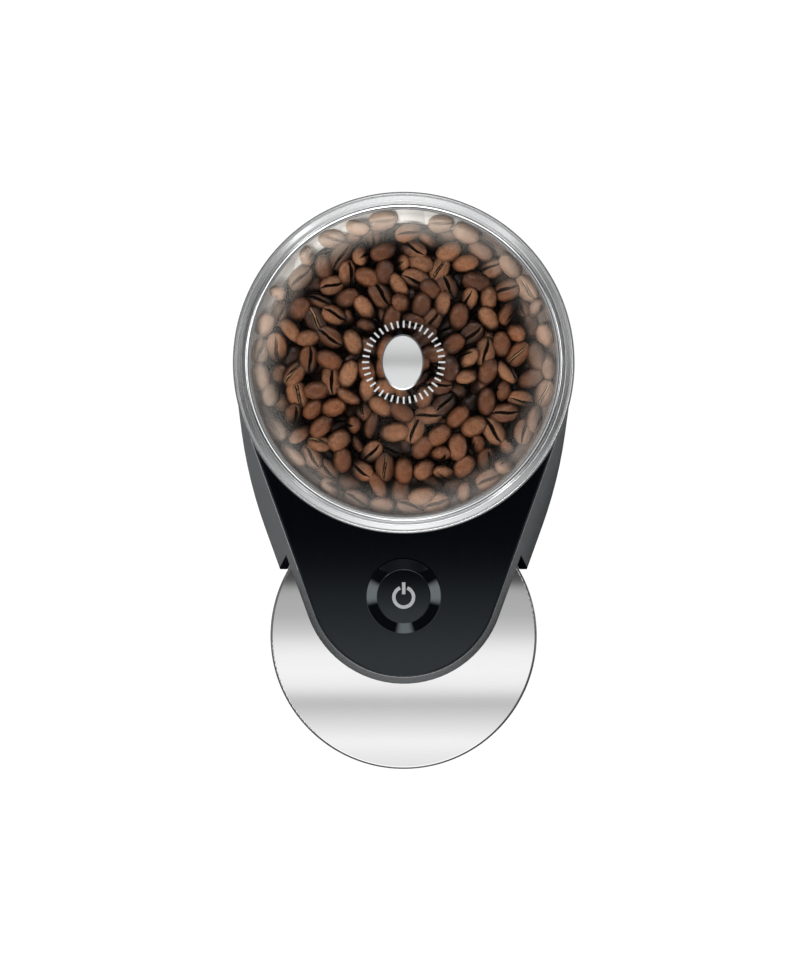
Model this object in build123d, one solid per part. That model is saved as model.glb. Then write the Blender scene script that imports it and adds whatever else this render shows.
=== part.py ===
"""Electric coffee grinder with a top hopper, conical burrs, a geared motor and a steel container.

Millimetres, +Z up, the nose and the container towards -Y. Every piece is drawn about the hopper axis
and then moved so that the origin is the middle of the footprint on the table.
"""

import os
from math import acos, asin, atan2, cos, pi, radians, sin, sqrt, tan

from build123d import *

os.makedirs("parts", exist_ok=True)

# Heights, stacked from the table upwards
FOOT_H = 2.0  # rubber pad under the base
CONTAINER_H = 126.0  # table to the top of the container lid
LID_AIR = 8.0  # container lid to the underside of the nose
NOSE_DEPTH = 72.0  # underside of the nose to the top panel
CHUTE_DROP = 13.0  # grind chamber floor above the underside of the nose
CHAMBER_FLOOR_T = 4.0
GEAR_COVER_T = 3.0
GEAR_FLOOR_T = 3.0
PINION_H = 7.0
OUTPUT_H = 8.5
GEAR_AIR = 1.0  # between a gear's face and what lies above or below it
BEARING_DEPTH = 3.5  # bearing boss under the gear cover
MOTOR_L = 70.0
PANEL_T = 3.0

NOSE_Z = CONTAINER_H + LID_AIR
TOP_Z = NOSE_Z + NOSE_DEPTH
SHELL_TOP_Z = TOP_Z - PANEL_T
CHAMBER_Z = NOSE_Z + CHUTE_DROP
COVER_TOP_Z = CHAMBER_Z - CHAMBER_FLOOR_T
COVER_Z = COVER_TOP_Z - GEAR_COVER_T
output_z = COVER_Z - BEARING_DEPTH - GEAR_AIR - OUTPUT_H
pinion_z = output_z - 2 * GEAR_AIR - PINION_H
CASE_Z = pinion_z - GEAR_AIR
MOTOR_TOP_Z = CASE_Z - GEAR_FLOOR_T
MOTOR_Z = MOTOR_TOP_Z - MOTOR_L

# Plan of the housing, measured from the hopper axis
TOP_R = 63.7  # rear radius, and distance of the straight sides, at the top
TOP_REACH = 118.0  # front of the nose at the top
NOSE_R = 35.8  # nose radius at the top
REAR_FLARE = 2.9  # how far the walls stand out at the base, at the rear
SIDE_FLARE = 9.9  # the same at the straight sides
NOSE_FLARE = 12.2  # the same at the nose, if its walls ran down to the base
WALL = 2.6
FRONT_SETBACK = 30.7  # raked front behind the container axis, under the nose
FRONT_RAKE = 6.4  # how much further forward the raked front stands at the base
SKIN_GAP = 0.2  # panels and covers inside the shell

BASE_REAR_R = TOP_R + REAR_FLARE
BASE_SIDE_R = TOP_R + SIDE_FLARE
BASE_REACH = TOP_REACH + NOSE_FLARE
TAPER_SIN = (TOP_R - NOSE_R) / (TOP_REACH - NOSE_R)  # slant of the straight sides in plan
TAPER = asin(TAPER_SIN)
TAPER_COS = cos(TAPER)

# Container
CONTAINER_LID_R = 51.4
SPOUT_SETBACK = 14.0  # spout and container axis behind the front of the nose
CONTAINER_REACH = TOP_REACH - SPOUT_SETBACK
FRONT_NOSE = CONTAINER_REACH - FRONT_SETBACK
FRONT_BASE = FRONT_NOSE + FRONT_RAKE
CONTAINER_TAPER = 4.0  # how much smaller the foot is than the mouth, on the radius
SHEET = 1.1  # steel of the container and its lid
BAY_GAP = 0.8  # container lid to the wall of the bay
INLET_R = 13.0  # hole in the container lid under the spout

# Running and seating clearances
RUN_GAP = 0.05  # shaft in bearing
SEAT_GAP = 0.02  # pressed or bonded pieces
FREE_GAP = 0.3  # pieces that move past one another

GLAND_PROUD = 1.4  # cord gland behind the shell
HOPPER_Y = (CONTAINER_REACH + CONTAINER_LID_R - BASE_REAR_R - GLAND_PROUD) / 2
LOW = (Align.CENTER, Align.CENTER, Align.MIN)
FAR = 2 * BASE_REACH  # longer than any cut has to be


def save(shape, node):
    """Moves a piece from the hopper axis to its place in the frame and writes it."""
    export_step(Pos(0, HOPPER_Y, 0) * shape, f"parts/{node}.step")


def rod(radius, z0, z1, x=0.0, y=0.0):
    """Upright cylinder between two heights."""
    return Pos(x, y, z0) * Cylinder(radius, z1 - z0, align=LOW)


def tube(outer, inner, z0, z1, x=0.0, y=0.0):
    """Upright tube between two heights."""
    return rod(outer, z0, z1, x, y) - rod(inner, z0 - 1, z1 + 1, x, y)


def turned(*points):
    """Solid of revolution about Z from a closed profile of (radius, height) points."""
    return revolve(Plane.XZ * make_face(Polyline(*points, close=True)), Axis.Z)


def mirrored(points):
    """The given (x, y) points together with their mirror images across the middle plane."""
    return [(side * x, y) for x, y in points for side in (1, -1)]


# Housing shell: graphite moulding with drafted teardrop walls
def plan(z, inset=0.0):
    """Outline at a height: rear half circle, a long arc and a straight run each side, and the nose arc."""
    share = (z - FOOT_H) / (TOP_Z - FOOT_H)
    rear = BASE_REAR_R + share * (TOP_R - BASE_REAR_R) - inset
    side = BASE_SIDE_R + share * (TOP_R - BASE_SIDE_R) - inset
    reach = BASE_REACH + share * (TOP_REACH - BASE_REACH) - inset
    flank = (side - rear * TAPER_COS) / (1 - TAPER_COS)
    nose_y = (reach - side) / (1 - TAPER_SIN)
    nose = reach - nose_y
    middle = (rear - flank + flank * cos(TAPER / 2), -flank * sin(TAPER / 2))
    shoulder = (rear - flank + flank * TAPER_COS, -flank * TAPER_SIN)
    cheek = (nose * TAPER_COS, -nose_y - nose * TAPER_SIN)
    edges = [
        ThreePointArc((rear, 0), (0, rear), (-rear, 0)),
        ThreePointArc((-rear, 0), (-middle[0], middle[1]), (-shoulder[0], shoulder[1])),
        Line((-shoulder[0], shoulder[1]), (-cheek[0], cheek[1])),
        ThreePointArc((-cheek[0], cheek[1]), (0, -reach), cheek),
        Line(cheek, shoulder),
        ThreePointArc(shoulder, middle, (rear, 0)),
    ]
    return Pos(0, 0, z) * make_face(edges)


def drafted(z0, z1, inset=0.0):
    """Solid between two heights inside the drafted walls."""
    return loft([plan(z0, inset), plan(z1, inset)], ruled=True)


def half_width(y):
    """Inside half width of the housing at the base, for a place beside or in front of the hopper axis."""
    rear = BASE_REAR_R - WALL
    side = BASE_SIDE_R - WALL
    flank = (side - rear * TAPER_COS) / (1 - TAPER_COS)
    if y > -flank * TAPER_SIN:
        return rear - flank + sqrt(flank**2 - y**2)
    return (side + y * TAPER_SIN) / TAPER_COS


def bay(grow=0.0):
    """Space in front of the raked front and under the nose, with the socket for the container."""
    rake = (FRONT_NOSE - FRONT_BASE) / (NOSE_Z - FOOT_H)
    z0 = 0
    z1 = NOSE_Z + grow
    y0 = grow - FRONT_BASE - rake * (z0 - FOOT_H)
    y1 = grow - FRONT_BASE - rake * (z1 - FOOT_H)
    side_view = make_face(Polyline((y0, z0), (y1, z1), (-FAR, z1), (-FAR, z0), close=True))
    slab = extrude(Plane.YZ * side_view, amount=FAR, both=True)
    mouth = CONTAINER_LID_R + BAY_GAP + grow
    socket = Cone(mouth - CONTAINER_TAPER, mouth, z1 - z0, align=LOW)
    return slab + Pos(0, -CONTAINER_REACH, z0) * socket


BOSS_R = 4.5
BOSS_H = 20.0
BOSS_BITE = 1.0  # how far a boss runs into the wall
BOSS_ANGLE = 42.0  # rear bosses, from the cross axis
BOSS_FRONT_Y = -22.0
SCREW_R = 1.5  # base and frame screws
BASE_T = 2.5
BASE_TOP_Z = FOOT_H + BASE_T
boss_ring = BASE_REAR_R - WALL - BOSS_R + BOSS_BITE
rear_boss = (boss_ring * cos(radians(BOSS_ANGLE)), boss_ring * sin(radians(BOSS_ANGLE)))
front_boss = (half_width(BOSS_FRONT_Y) - BOSS_R + BOSS_BITE, BOSS_FRONT_Y)
bosses = mirrored([rear_boss, front_boss])

GLAND_Z = 18.0
GLAND_NECK_R = 5.4

shell = drafted(FOOT_H, SHELL_TOP_Z) - drafted(FOOT_H - 1, SHELL_TOP_Z + 1, WALL)
for x, y in bosses:
    boss = rod(BOSS_R, BASE_TOP_Z, BASE_TOP_Z + BOSS_H, x, y)
    shell += boss & drafted(FOOT_H, SHELL_TOP_Z, WALL / 2)
for x, y in bosses:
    shell -= rod(SCREW_R + SEAT_GAP, BASE_TOP_Z - 1, BASE_TOP_Z + BOSS_H - 2 * SCREW_R, x, y)
shell -= bay()
gland_axis = Plane((0, BASE_REAR_R / 2, GLAND_Z), x_dir=(1, 0, 0), z_dir=(0, 1, 0))
shell -= gland_axis * Cylinder(GLAND_NECK_R + SEAT_GAP, BASE_REAR_R, align=LOW)
save(shell, "housing_shell")

# Bay panel: black liner of the nose underside, the raked front and the container socket
SPOUT_R = 11.0
liner = drafted(FOOT_H, SHELL_TOP_Z, WALL + SKIN_GAP) & (bay(WALL) - bay())
liner -= rod(SPOUT_R + FREE_GAP, NOSE_Z - 1, NOSE_Z + WALL + 1, 0, -CONTAINER_REACH)
save(liner, "bay_panel")

# Top panel: gloss black cap with the hopper opening, the button hole and posts for the board
BUTTON_PLACE = 0.44  # button axis between the ring and the front of the nose, as a share of that length
BUTTON_R = 13.9
BUTTON_GAP = 0.6
BUTTON_KEEP = 2.0  # retaining flange round the button, under the panel
RING_LAND = 4.1  # panel outside the hopper wall
PANEL_EDGE = 0.9
RIB_H = 4.0
RIB_T = 1.6
BOARD_T = 1.6
BOARD_DROP = 18.4  # panel underside to the board
BOARD_EDGE = 1.2  # board outside its posts
POST_R = 2.8
BOARD_SCREW_R = 1.0
BUTTON_Y = -TOP_R - BUTTON_PLACE * (TOP_REACH - TOP_R)
HOPPER_R = TOP_R - RING_LAND
post_ring = BUTTON_R + BUTTON_KEEP + POST_R + 2 * FREE_GAP
post_back = post_ring / sqrt(2)
board_posts = mirrored([(post_ring, BUTTON_Y), (post_back, BUTTON_Y + post_back)])
BOARD_TOP_Z = SHELL_TOP_Z - BOARD_DROP

panel = drafted(SHELL_TOP_Z, TOP_Z)
panel = fillet(panel.faces().sort_by(Axis.Z)[-1].outer_wire().edges(), PANEL_EDGE)
rib = drafted(SHELL_TOP_Z - RIB_H, SHELL_TOP_Z, WALL + SKIN_GAP)
rib -= drafted(SHELL_TOP_Z - RIB_H - 1, SHELL_TOP_Z + 1, WALL + SKIN_GAP + RIB_T)
panel += rib & Pos(0, -FAR / 2 - HOPPER_R, TOP_Z) * Box(FAR, FAR, FAR)
panel -= rod(HOPPER_R + 2 * FREE_GAP, SHELL_TOP_Z - RIB_H - 1, TOP_Z + 1)
panel -= rod(BUTTON_R + BUTTON_GAP, SHELL_TOP_Z - 1, TOP_Z + 1, 0, BUTTON_Y)
panel -= rod(BUTTON_R + BUTTON_KEEP + FREE_GAP, SHELL_TOP_Z - RIB_H - 1, SHELL_TOP_Z, 0, BUTTON_Y)
for x, y in board_posts:
    panel += tube(POST_R, BOARD_SCREW_R + SEAT_GAP, BOARD_TOP_Z, SHELL_TOP_Z, x, y)
save(panel, "top_panel")

# Base cover: plate with vents, seats for the pillars and holes for the feet and screws
FOOT_R = 7.5
FOOT_STEM_R = 3.0
FOOT_EDGE = 3.0  # pad inside the wall at the front
FOOT_BACK = 13.0  # pad behind the raked front and inside the rear wall
FOOT_SPREAD = 52.0  # between the rear feet
front_y = FOOT_R + FOOT_BACK + FOOT_EDGE - FRONT_BASE
rear_y = BASE_REAR_R - WALL - FOOT_R - FOOT_BACK + FOOT_EDGE
feet = mirrored([(FOOT_SPREAD / 2, rear_y), (half_width(front_y) - FOOT_R - FOOT_EDGE, front_y)])
VENT_W = 2.6
VENT_L = 34.0
VENTS = 7
SCREW_HEAD_R = 3.2
SCREW_HEAD_H = 1.5

base = drafted(FOOT_H, BASE_TOP_Z, WALL + SKIN_GAP) - bay(WALL + SKIN_GAP)
for x, y in feet:
    base -= rod(FOOT_STEM_R + SEAT_GAP, FOOT_H - 1, BASE_TOP_Z + 1, x, y)
for x, y in bosses:
    base -= rod(SCREW_R + 0.1, FOOT_H - 1, BASE_TOP_Z + 1, x, y)
    base -= rod(SCREW_HEAD_R + 0.2, FOOT_H - 1, FOOT_H + SCREW_HEAD_H, x, y)
for i in range(VENTS):
    slot = SlotOverall(VENT_L, VENT_W, rotation=90)
    base -= Pos((i - (VENTS - 1) / 2) * 2 * VENT_W, 0, FOOT_H - 1) * extrude(slot, BASE_T + 2)
save(base, "base_cover")

# Rubber feet: pads with a barbed stem pushed through the base cover
foot = rod(FOOT_R, 0, FOOT_H) + rod(FOOT_STEM_R, FOOT_H, BASE_TOP_Z + 0.1)
foot += Pos(0, 0, BASE_TOP_Z + 0.1) * Cone(FOOT_STEM_R + 0.8, FOOT_STEM_R - 1, 2.4, align=LOW)
foot = chamfer(foot.faces().sort_by(Axis.Z)[0].edges(), 0.6)
save(Compound([Pos(x, y, 0) * foot for x, y in feet]), "rubber_feet")

# Base screws: pan heads sunk in the cover, shanks in the shell bosses
screw = rod(SCREW_HEAD_R, FOOT_H + 0.1, FOOT_H + SCREW_HEAD_H)
screw += rod(SCREW_R, FOOT_H + SCREW_HEAD_H, BASE_TOP_Z + BOSS_H / 2)
screw -= Pos(0, 0, FOOT_H) * Box(0.7, 4.2, 1.4)
save(Compound([Pos(x, y, 0) * screw for x, y in bosses]), "base_screws")

# Cord gland: grommet in the rear wall, open for a cord
GLAND_BORE_R = 3.3
GLAND_FLANGE_R = 7.5
rear_out = BASE_REAR_R - (BASE_REAR_R - TOP_R) * (GLAND_Z - FOOT_H) / (TOP_Z - FOOT_H)
gland_profile = make_face(
    Polyline(
        (GLAND_BORE_R, rear_out - WALL - 3),
        (GLAND_FLANGE_R, rear_out - WALL - 3),
        (GLAND_FLANGE_R, rear_out - WALL - 0.6),
        (GLAND_NECK_R, rear_out - WALL - 0.6),
        (GLAND_NECK_R, rear_out + 0.1),
        (GLAND_FLANGE_R, rear_out + 0.1),
        (GLAND_FLANGE_R - 1, BASE_REAR_R + GLAND_PROUD),
        (GLAND_BORE_R, BASE_REAR_R + GLAND_PROUD),
        close=True,
    )
)
gland = Pos(0, 0, GLAND_Z) * revolve(gland_profile, Axis.Y)
save(gland, "cord_gland")

# Hopper: clear funnel with a flange on the top panel
HOPPER_WALL = 1.8
HOPPER_RISE = 8.0  # hopper wall above the top panel
FLANGE_T = 1.8
RING_BURR_R = 26.0
BURR_RIM = 1.6  # ring burr wall at the top
BURR_SLOPE = 4.0  # how much the ring burr narrows downwards
THROAT_STEP = 3.4  # throat inside the ring burr
RING_BURR_TOP_R = RING_BURR_R - BURR_RIM
RING_BURR_LOW_R = RING_BURR_TOP_R - BURR_SLOPE
THROAT_R = RING_BURR_TOP_R - THROAT_STEP
NECK_T = 2.4
OUTLET_H = 7.0
RING_BURR_H = 17.0
CARRIER_LIP = 6.0  # carrier above the ring burr
BURR_Z = CHAMBER_Z + OUTLET_H + 1
CARRIER_TOP_Z = BURR_Z + RING_BURR_H + CARRIER_LIP
NECK_Z = CARRIER_TOP_Z + FREE_GAP
hopper_in = HOPPER_R - HOPPER_WALL
rim_z = TOP_Z + HOPPER_RISE
flange_z = TOP_Z + FREE_GAP
flange_r = TOP_R - 1.1
funnel_low_z = NECK_Z + 2 * NECK_T
funnel_top_z = TOP_Z - 1.0
hopper = turned(
    (THROAT_R, NECK_Z),
    (THROAT_R + NECK_T, NECK_Z),
    (THROAT_R + NECK_T, NECK_Z + NECK_T),
    (HOPPER_R, TOP_Z - NECK_T),
    (HOPPER_R, flange_z),
    (flange_r, flange_z),
    (flange_r, flange_z + FLANGE_T),
    (HOPPER_R, flange_z + FLANGE_T),
    (HOPPER_R, rim_z),
    (hopper_in, rim_z),
    (hopper_in, funnel_top_z),
    (THROAT_R, funnel_low_z),
)
save(hopper, "hopper")

# Hopper ring: turned metal ring with an outer bead, a groove, a crowned band and an inner cove
RING_R = TOP_R + 0.3
RING_H = 11.5
ring_top = TOP_Z + RING_H
ring_in = HOPPER_R + 0.15
seat_z = flange_z + FLANGE_T
ring_line = [
    Line((ring_in, seat_z), (flange_r + 0.2, seat_z)),
    Line((flange_r + 0.2, seat_z), (flange_r + 0.2, TOP_Z + 2 * FREE_GAP)),
    Line((flange_r + 0.2, TOP_Z + 2 * FREE_GAP), (RING_R, TOP_Z + 2 * FREE_GAP)),
    Line((RING_R, TOP_Z + 2 * FREE_GAP), (RING_R, ring_top - 1.2)),
    ThreePointArc((RING_R, ring_top - 1.2), (RING_R - 0.5, ring_top - 0.66), (RING_R - 1.05, ring_top - 1.0)),
    Line((RING_R - 1.05, ring_top - 1.0), (RING_R - 1.05, ring_top - 1.6)),
    Line((RING_R - 1.05, ring_top - 1.6), (RING_R - 1.5, ring_top - 1.6)),
    Line((RING_R - 1.5, ring_top - 1.6), (RING_R - 1.5, ring_top - 0.2)),
    ThreePointArc((RING_R - 1.5, ring_top - 0.2), (RING_R - 2.3, ring_top), (RING_R - 3.1, ring_top - 0.2)),
    ThreePointArc((RING_R - 3.1, ring_top - 0.2), (RING_R - 3.5, ring_top - 0.9), (ring_in, ring_top - 1.3)),
    Line((ring_in, ring_top - 1.3), (ring_in, seat_z)),
]
ring = revolve(Plane.XZ * make_face(ring_line), Axis.Z)
save(ring, "hopper_ring")

# Beans: the heap that fills the funnel, whose uppermost beans stand proud of the packed ones
def cap_arc(radius, z, rise):
    """Arc from a rim up to the axis, square to the axis."""
    ball = (radius**2 + rise**2) / (2 * rise)
    middle_z = z + rise - ball + sqrt(ball**2 - radius**2 / 4)
    return ThreePointArc((radius, z), (radius / 2, middle_z), (0, z + rise))


HEAP_EDGE = 6.0  # bean tops above the top panel at the wall
HEAP_CROWN = 5.5  # more in the middle
BEAN_L = 11.0
BEAN_W = 8.2
BEAN_T = 7.4
BEAN_PITCH = 11.75  # mean spacing of the uppermost beans
BEAN_PROUD = 5.0  # their tops above the packed beans
BEAN_SPIN = 115.0  # degrees that each bean is turned from the one before
GOLDEN_TURN = 180 * (3 - sqrt(5))  # degrees round the axis to the next bean, which spreads them evenly

heap_r = hopper_in - FREE_GAP
packed_z = TOP_Z + HEAP_EDGE - BEAN_PROUD
heap_foot_r = THROAT_R - FREE_GAP
heap_foot_z = funnel_low_z + FREE_GAP
heap_side_z = funnel_top_z + FREE_GAP
heap_line = [
    Line((0, heap_foot_z), (heap_foot_r, heap_foot_z)),
    Line((heap_foot_r, heap_foot_z), (heap_r, heap_side_z)),
    Line((heap_r, heap_side_z), (heap_r, packed_z)),
    cap_arc(heap_r, packed_z, HEAP_CROWN),
    Line((0, packed_z + HEAP_CROWN), (0, heap_foot_z)),
]
packed_beans = revolve(Plane.XZ * make_face(heap_line), Axis.Z)
bean = scale(Sphere(1), by=(BEAN_L / 2, BEAN_W / 2, BEAN_T / 2))
bean_reach = heap_r - BEAN_L / 2
bean_count = int(pi * (bean_reach / BEAN_PITCH) ** 2)
upper_beans = []
for k in range(bean_count):
    out = bean_reach * sqrt((k + 0.5) / bean_count)
    bean_z = TOP_Z + HEAP_EDGE + HEAP_CROWN * (1 - (out / heap_r) ** 2) - BEAN_T / 2
    upper_beans.append(Rot(Z=k * GOLDEN_TURN) * Pos(out, 0, bean_z) * Rot(Z=k * BEAN_SPIN) * bean)
heap = packed_beans + upper_beans
save(heap, "bean_fill")

# Hopper lid: seal on the hopper rim, clear dome and bright rim
SEAL_T = 0.8
LID_FLANGE_T = 1.3
LID_SKIN = 2.0
LID_SHOULDER = 4.0
LID_CROWN_R = 135.0
lid_r = HOPPER_R - 0.3
dome_r = lid_r - 1.3
seal_z = rim_z + 0.1
lid_z = seal_z + SEAL_T
spring_z = lid_z + LID_FLANGE_T + 1.4
save(tube(lid_r, hopper_in, seal_z, lid_z), "lid_seal")


def dome_line(inset):
    """Half section of a dome skin: a shoulder arc that runs smoothly into a flatter crown arc."""
    shoulder_r = dome_r - LID_SHOULDER
    ball = LID_CROWN_R - LID_SHOULDER
    drop = sqrt(ball**2 - shoulder_r**2)
    slope = acos(drop / ball)

    def on(radius, angle, r0, z0):
        return (r0 + radius * sin(angle), z0 + radius * cos(angle))

    small = LID_SHOULDER - inset
    large = LID_CROWN_R - inset
    edge, knee, top = [on(small, a, shoulder_r, spring_z) for a in (pi / 2, (pi / 2 + slope) / 2, slope)]
    crown = [on(large, a, 0, spring_z - drop) for a in (slope / 2, 0)]
    return [ThreePointArc(edge, knee, top), ThreePointArc(top, *crown)], crown[-1]


outer_line, outer_top = dome_line(0)
inner_line, inner_top = dome_line(LID_SKIN)
dome_edges = outer_line + inner_line
dome_edges += [
    Line(outer_top, inner_top),
    Line((dome_r - LID_SKIN, spring_z), (dome_r - LID_SKIN, lid_z)),
    Line((dome_r - LID_SKIN, lid_z), (lid_r, lid_z)),
    Line((lid_r, lid_z), (lid_r, lid_z + LID_FLANGE_T)),
    Line((lid_r, lid_z + LID_FLANGE_T), (dome_r, lid_z + LID_FLANGE_T)),
    Line((dome_r, lid_z + LID_FLANGE_T), (dome_r, spring_z)),
]
dome = revolve(Plane.XZ * make_face(dome_edges), Axis.Z)
save(dome, "lid_dome")

lid_rim = tube(lid_r, dome_r + SEAT_GAP, lid_z + LID_FLANGE_T, spring_z)
lid_rim = fillet(lid_rim.edges().group_by(Axis.Z)[-1], 0.35)
save(lid_rim, "lid_rim")

# Grind chamber: cup on the gear case cover with an outlet to the chute
CARRIER_WALL = 3.9
CARRIER_R = RING_BURR_R + CARRIER_WALL
CHAMBER_R = CARRIER_R + FREE_GAP
CHAMBER_WALL = 2.8
SHAFT_R = 4.0
BEARING_R = 8.0
OUTLET_W = 20.0
chamber_out = CHAMBER_R + CHAMBER_WALL
chamber = rod(chamber_out, COVER_TOP_Z, CARRIER_TOP_Z)
chamber -= rod(CHAMBER_R, CHAMBER_Z, CARRIER_TOP_Z + 1)
chamber -= rod(BEARING_R + SEAT_GAP, COVER_TOP_Z - 1, CHAMBER_Z + 1)
chamber -= Pos(0, -chamber_out, CHAMBER_Z) * Box(OUTLET_W, CHAMBER_R, OUTLET_H, align=LOW)
save(chamber, "grind_chamber")

# Exit chute: sloping duct from the chamber outlet to the spout
DUCT_WALL = 1.8
DUCT_IN_H = 8.0
DUCT_OUT_H = 12.5
duct_low = NOSE_Z + WALL + SKIN_GAP + DUCT_WALL


def duct(grow, back):
    """Four-sided duct that deepens towards the spout."""
    start = Plane((0, -chamber_out + back, CHAMBER_Z - grow), x_dir=(1, 0, 0), z_dir=(0, -1, 0))
    end = Plane((0, -CONTAINER_REACH, duct_low - grow), x_dir=(1, 0, 0), z_dir=(0, -1, 0))
    low = (Align.CENTER, Align.MIN)
    mouth = start * Rectangle(OUTLET_W + 2 * grow, DUCT_IN_H + 2 * grow, align=low)
    spout_end = end * Rectangle(OUTLET_W + 2 * grow, DUCT_OUT_H + 2 * grow, align=low)
    return loft([mouth, spout_end], ruled=True)


SPOUT_DROP = 2.0  # spout below the nose
spout_low = NOSE_Z - SPOUT_DROP
duct_top = duct_low + DUCT_OUT_H
chute = duct(DUCT_WALL, 6) + rod(SPOUT_R, spout_low, duct_top + DUCT_WALL, 0, -CONTAINER_REACH)
chute -= duct(0, 8) + rod(SPOUT_R - DUCT_WALL, spout_low - 1, duct_top, 0, -CONTAINER_REACH)
chute -= rod(chamber_out + SEAT_GAP, COVER_Z, TOP_Z)
save(chute, "exit_chute")

# Burr carrier and ring burr: the fixed cutting ring, turned with the hopper to set the grind
carrier = tube(CARRIER_R, RING_BURR_R + SEAT_GAP, BURR_Z, CARRIER_TOP_Z)
carrier += tube(RING_BURR_R + 1, THROAT_R + 0.5, BURR_Z + RING_BURR_H + 0.1, CARRIER_TOP_Z)
save(carrier, "burr_carrier")

RING_TEETH = 24
ring_burr = rod(RING_BURR_R, BURR_Z, BURR_Z + RING_BURR_H)
ring_burr -= Pos(0, 0, BURR_Z) * Cone(RING_BURR_LOW_R, RING_BURR_TOP_R, RING_BURR_H, align=LOW)
ring_lean = atan2(RING_BURR_TOP_R - RING_BURR_LOW_R, RING_BURR_H) * 180 / pi
ring_mid = (RING_BURR_LOW_R + RING_BURR_TOP_R) / 2
tooth_gap = Pos(ring_mid, 0, BURR_Z + RING_BURR_H / 2) * Rot(-18, ring_lean, 0) * Rot(0, 0, 45)
tooth_gap *= Box(1.6, 1.6, 2 * RING_BURR_H)
ring_burr -= [Rot(0, 0, 360 * i / RING_TEETH) * tooth_gap for i in range(RING_TEETH)]
save(ring_burr, "ring_burr")

# Conical burr: spiral-fluted cone on the shaft, held by a nut
CONE_H = 19.0
BURR_GAP = 0.6  # between the two burrs at the bottom
CONE_LOW_R = RING_BURR_LOW_R - BURR_GAP
CONE_TOP_R = 8.6
CONE_FLUTES = 9
cone_z = BURR_Z - BURR_GAP
lean = atan2(CONE_LOW_R - CONE_TOP_R, CONE_H) * 180 / pi
cone = Pos(0, 0, cone_z) * Cone(CONE_LOW_R, CONE_TOP_R, CONE_H, align=LOW)
flute_at = Pos((CONE_LOW_R + CONE_TOP_R) / 2 + 0.6, 0, cone_z + CONE_H / 2 + 3)
flute = flute_at * Rot(24, -lean, 0) * Rot(0, 0, 45)
flute *= Box(4.2, 4.2, 2 * CONE_H)
cone -= [Rot(0, 0, 360 * i / CONE_FLUTES) * flute for i in range(CONE_FLUTES)]
cone -= rod(SHAFT_R + SEAT_GAP, cone_z - 1, cone_z + CONE_H + 1)
save(cone, "conical_burr")

NUT_AF = 13.0
NUT_H = 3.6
nut_z = cone_z + CONE_H
nut = Pos(0, 0, nut_z) * extrude(RegularPolygon(NUT_AF / 2, 6, major_radius=False), NUT_H)
nut -= rod(SHAFT_R + SEAT_GAP, nut_z - 1, nut_z + NUT_H + 1)
save(nut, "burr_nut")

# Sweeper: disc with paddles that push the grounds to the outlet
PADDLES = 4
sweeper_z = CHAMBER_Z + 0.6
SWEEPER_T = 3.0
sweeper_r = CHAMBER_R - 2
paddle_in = RING_BURR_LOW_R + 0.6
paddle_l = sweeper_r - paddle_in
sweeper = rod(sweeper_r, sweeper_z, sweeper_z + SWEEPER_T)
for i in range(PADDLES):
    paddle = Box(paddle_l, 3, BURR_Z - 0.8 - sweeper_z, align=(Align.MIN, Align.CENTER, Align.MIN))
    sweeper += Rot(0, 0, 360 * i / PADDLES + 20) * Pos(paddle_in, 0, sweeper_z) * paddle
sweeper += rod(10, sweeper_z, cone_z)
sweeper -= rod(SHAFT_R + SEAT_GAP, sweeper_z - 1, cone_z + 1)
save(sweeper, "sweeper")

# Gear train: motor pinion, cluster gear on its own axle, output gear on the burr shaft
MODULE = 1.0
PINION_TEETH = 11
CLUSTER_BIG_TEETH = 37
CLUSTER_SMALL_TEETH = 12
OUTPUT_TEETH = CLUSTER_BIG_TEETH + PINION_TEETH - CLUSTER_SMALL_TEETH
PRESSURE = radians(25)
BACKLASH = 0.16
ADDENDUM = 0.75
DEDENDUM = 1.05
GEAR_Y = MODULE * (PINION_TEETH + CLUSTER_BIG_TEETH) / 2  # cluster axle behind the hopper axis


def gear(teeth, z0, z1, bore, turn=0.0):
    """Spur gear: involute flanks between the root circle and the tip circle, thinned by the backlash."""
    pitch = MODULE * teeth / 2
    base_r = pitch * cos(PRESSURE)
    tip = pitch + ADDENDUM * MODULE
    root = pitch - DEDENDUM * MODULE
    half = (pi * MODULE / 2 - BACKLASH) / 2 / pitch + tan(PRESSURE) - PRESSURE
    start = max(base_r, root + 0.05)
    flank = []
    for i in range(4):
        r = start + (tip - start) * i / 3
        roll = acos(base_r / r)
        flank.append((r, half - tan(roll) + roll))
    foot = (root, flank[0][1])

    def at(r, angle):
        return (r * cos(angle), r * sin(angle))

    edges = []
    step = 2 * pi / teeth
    for k in range(teeth):
        mid = k * step + radians(turn)
        edges.append(Line(at(root, mid - foot[1]), at(start, mid - flank[0][1])))
        edges.append(Spline(*[at(r, mid - a) for r, a in flank]))
        edges.append(ThreePointArc(at(tip, mid - flank[-1][1]), at(tip, mid), at(tip, mid + flank[-1][1])))
        edges.append(Spline(*[at(r, mid + a) for r, a in reversed(flank)]))
        edges.append(Line(at(start, mid + flank[0][1]), at(root, mid + foot[1])))
        gap = [mid + foot[1], mid + step / 2, mid + step - foot[1]]
        edges.append(ThreePointArc(*[at(root, a) for a in gap]))
    return Pos(0, 0, z0) * extrude(make_face(edges), z1 - z0) - rod(bore, z0 - 1, z1 + 1)


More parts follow.
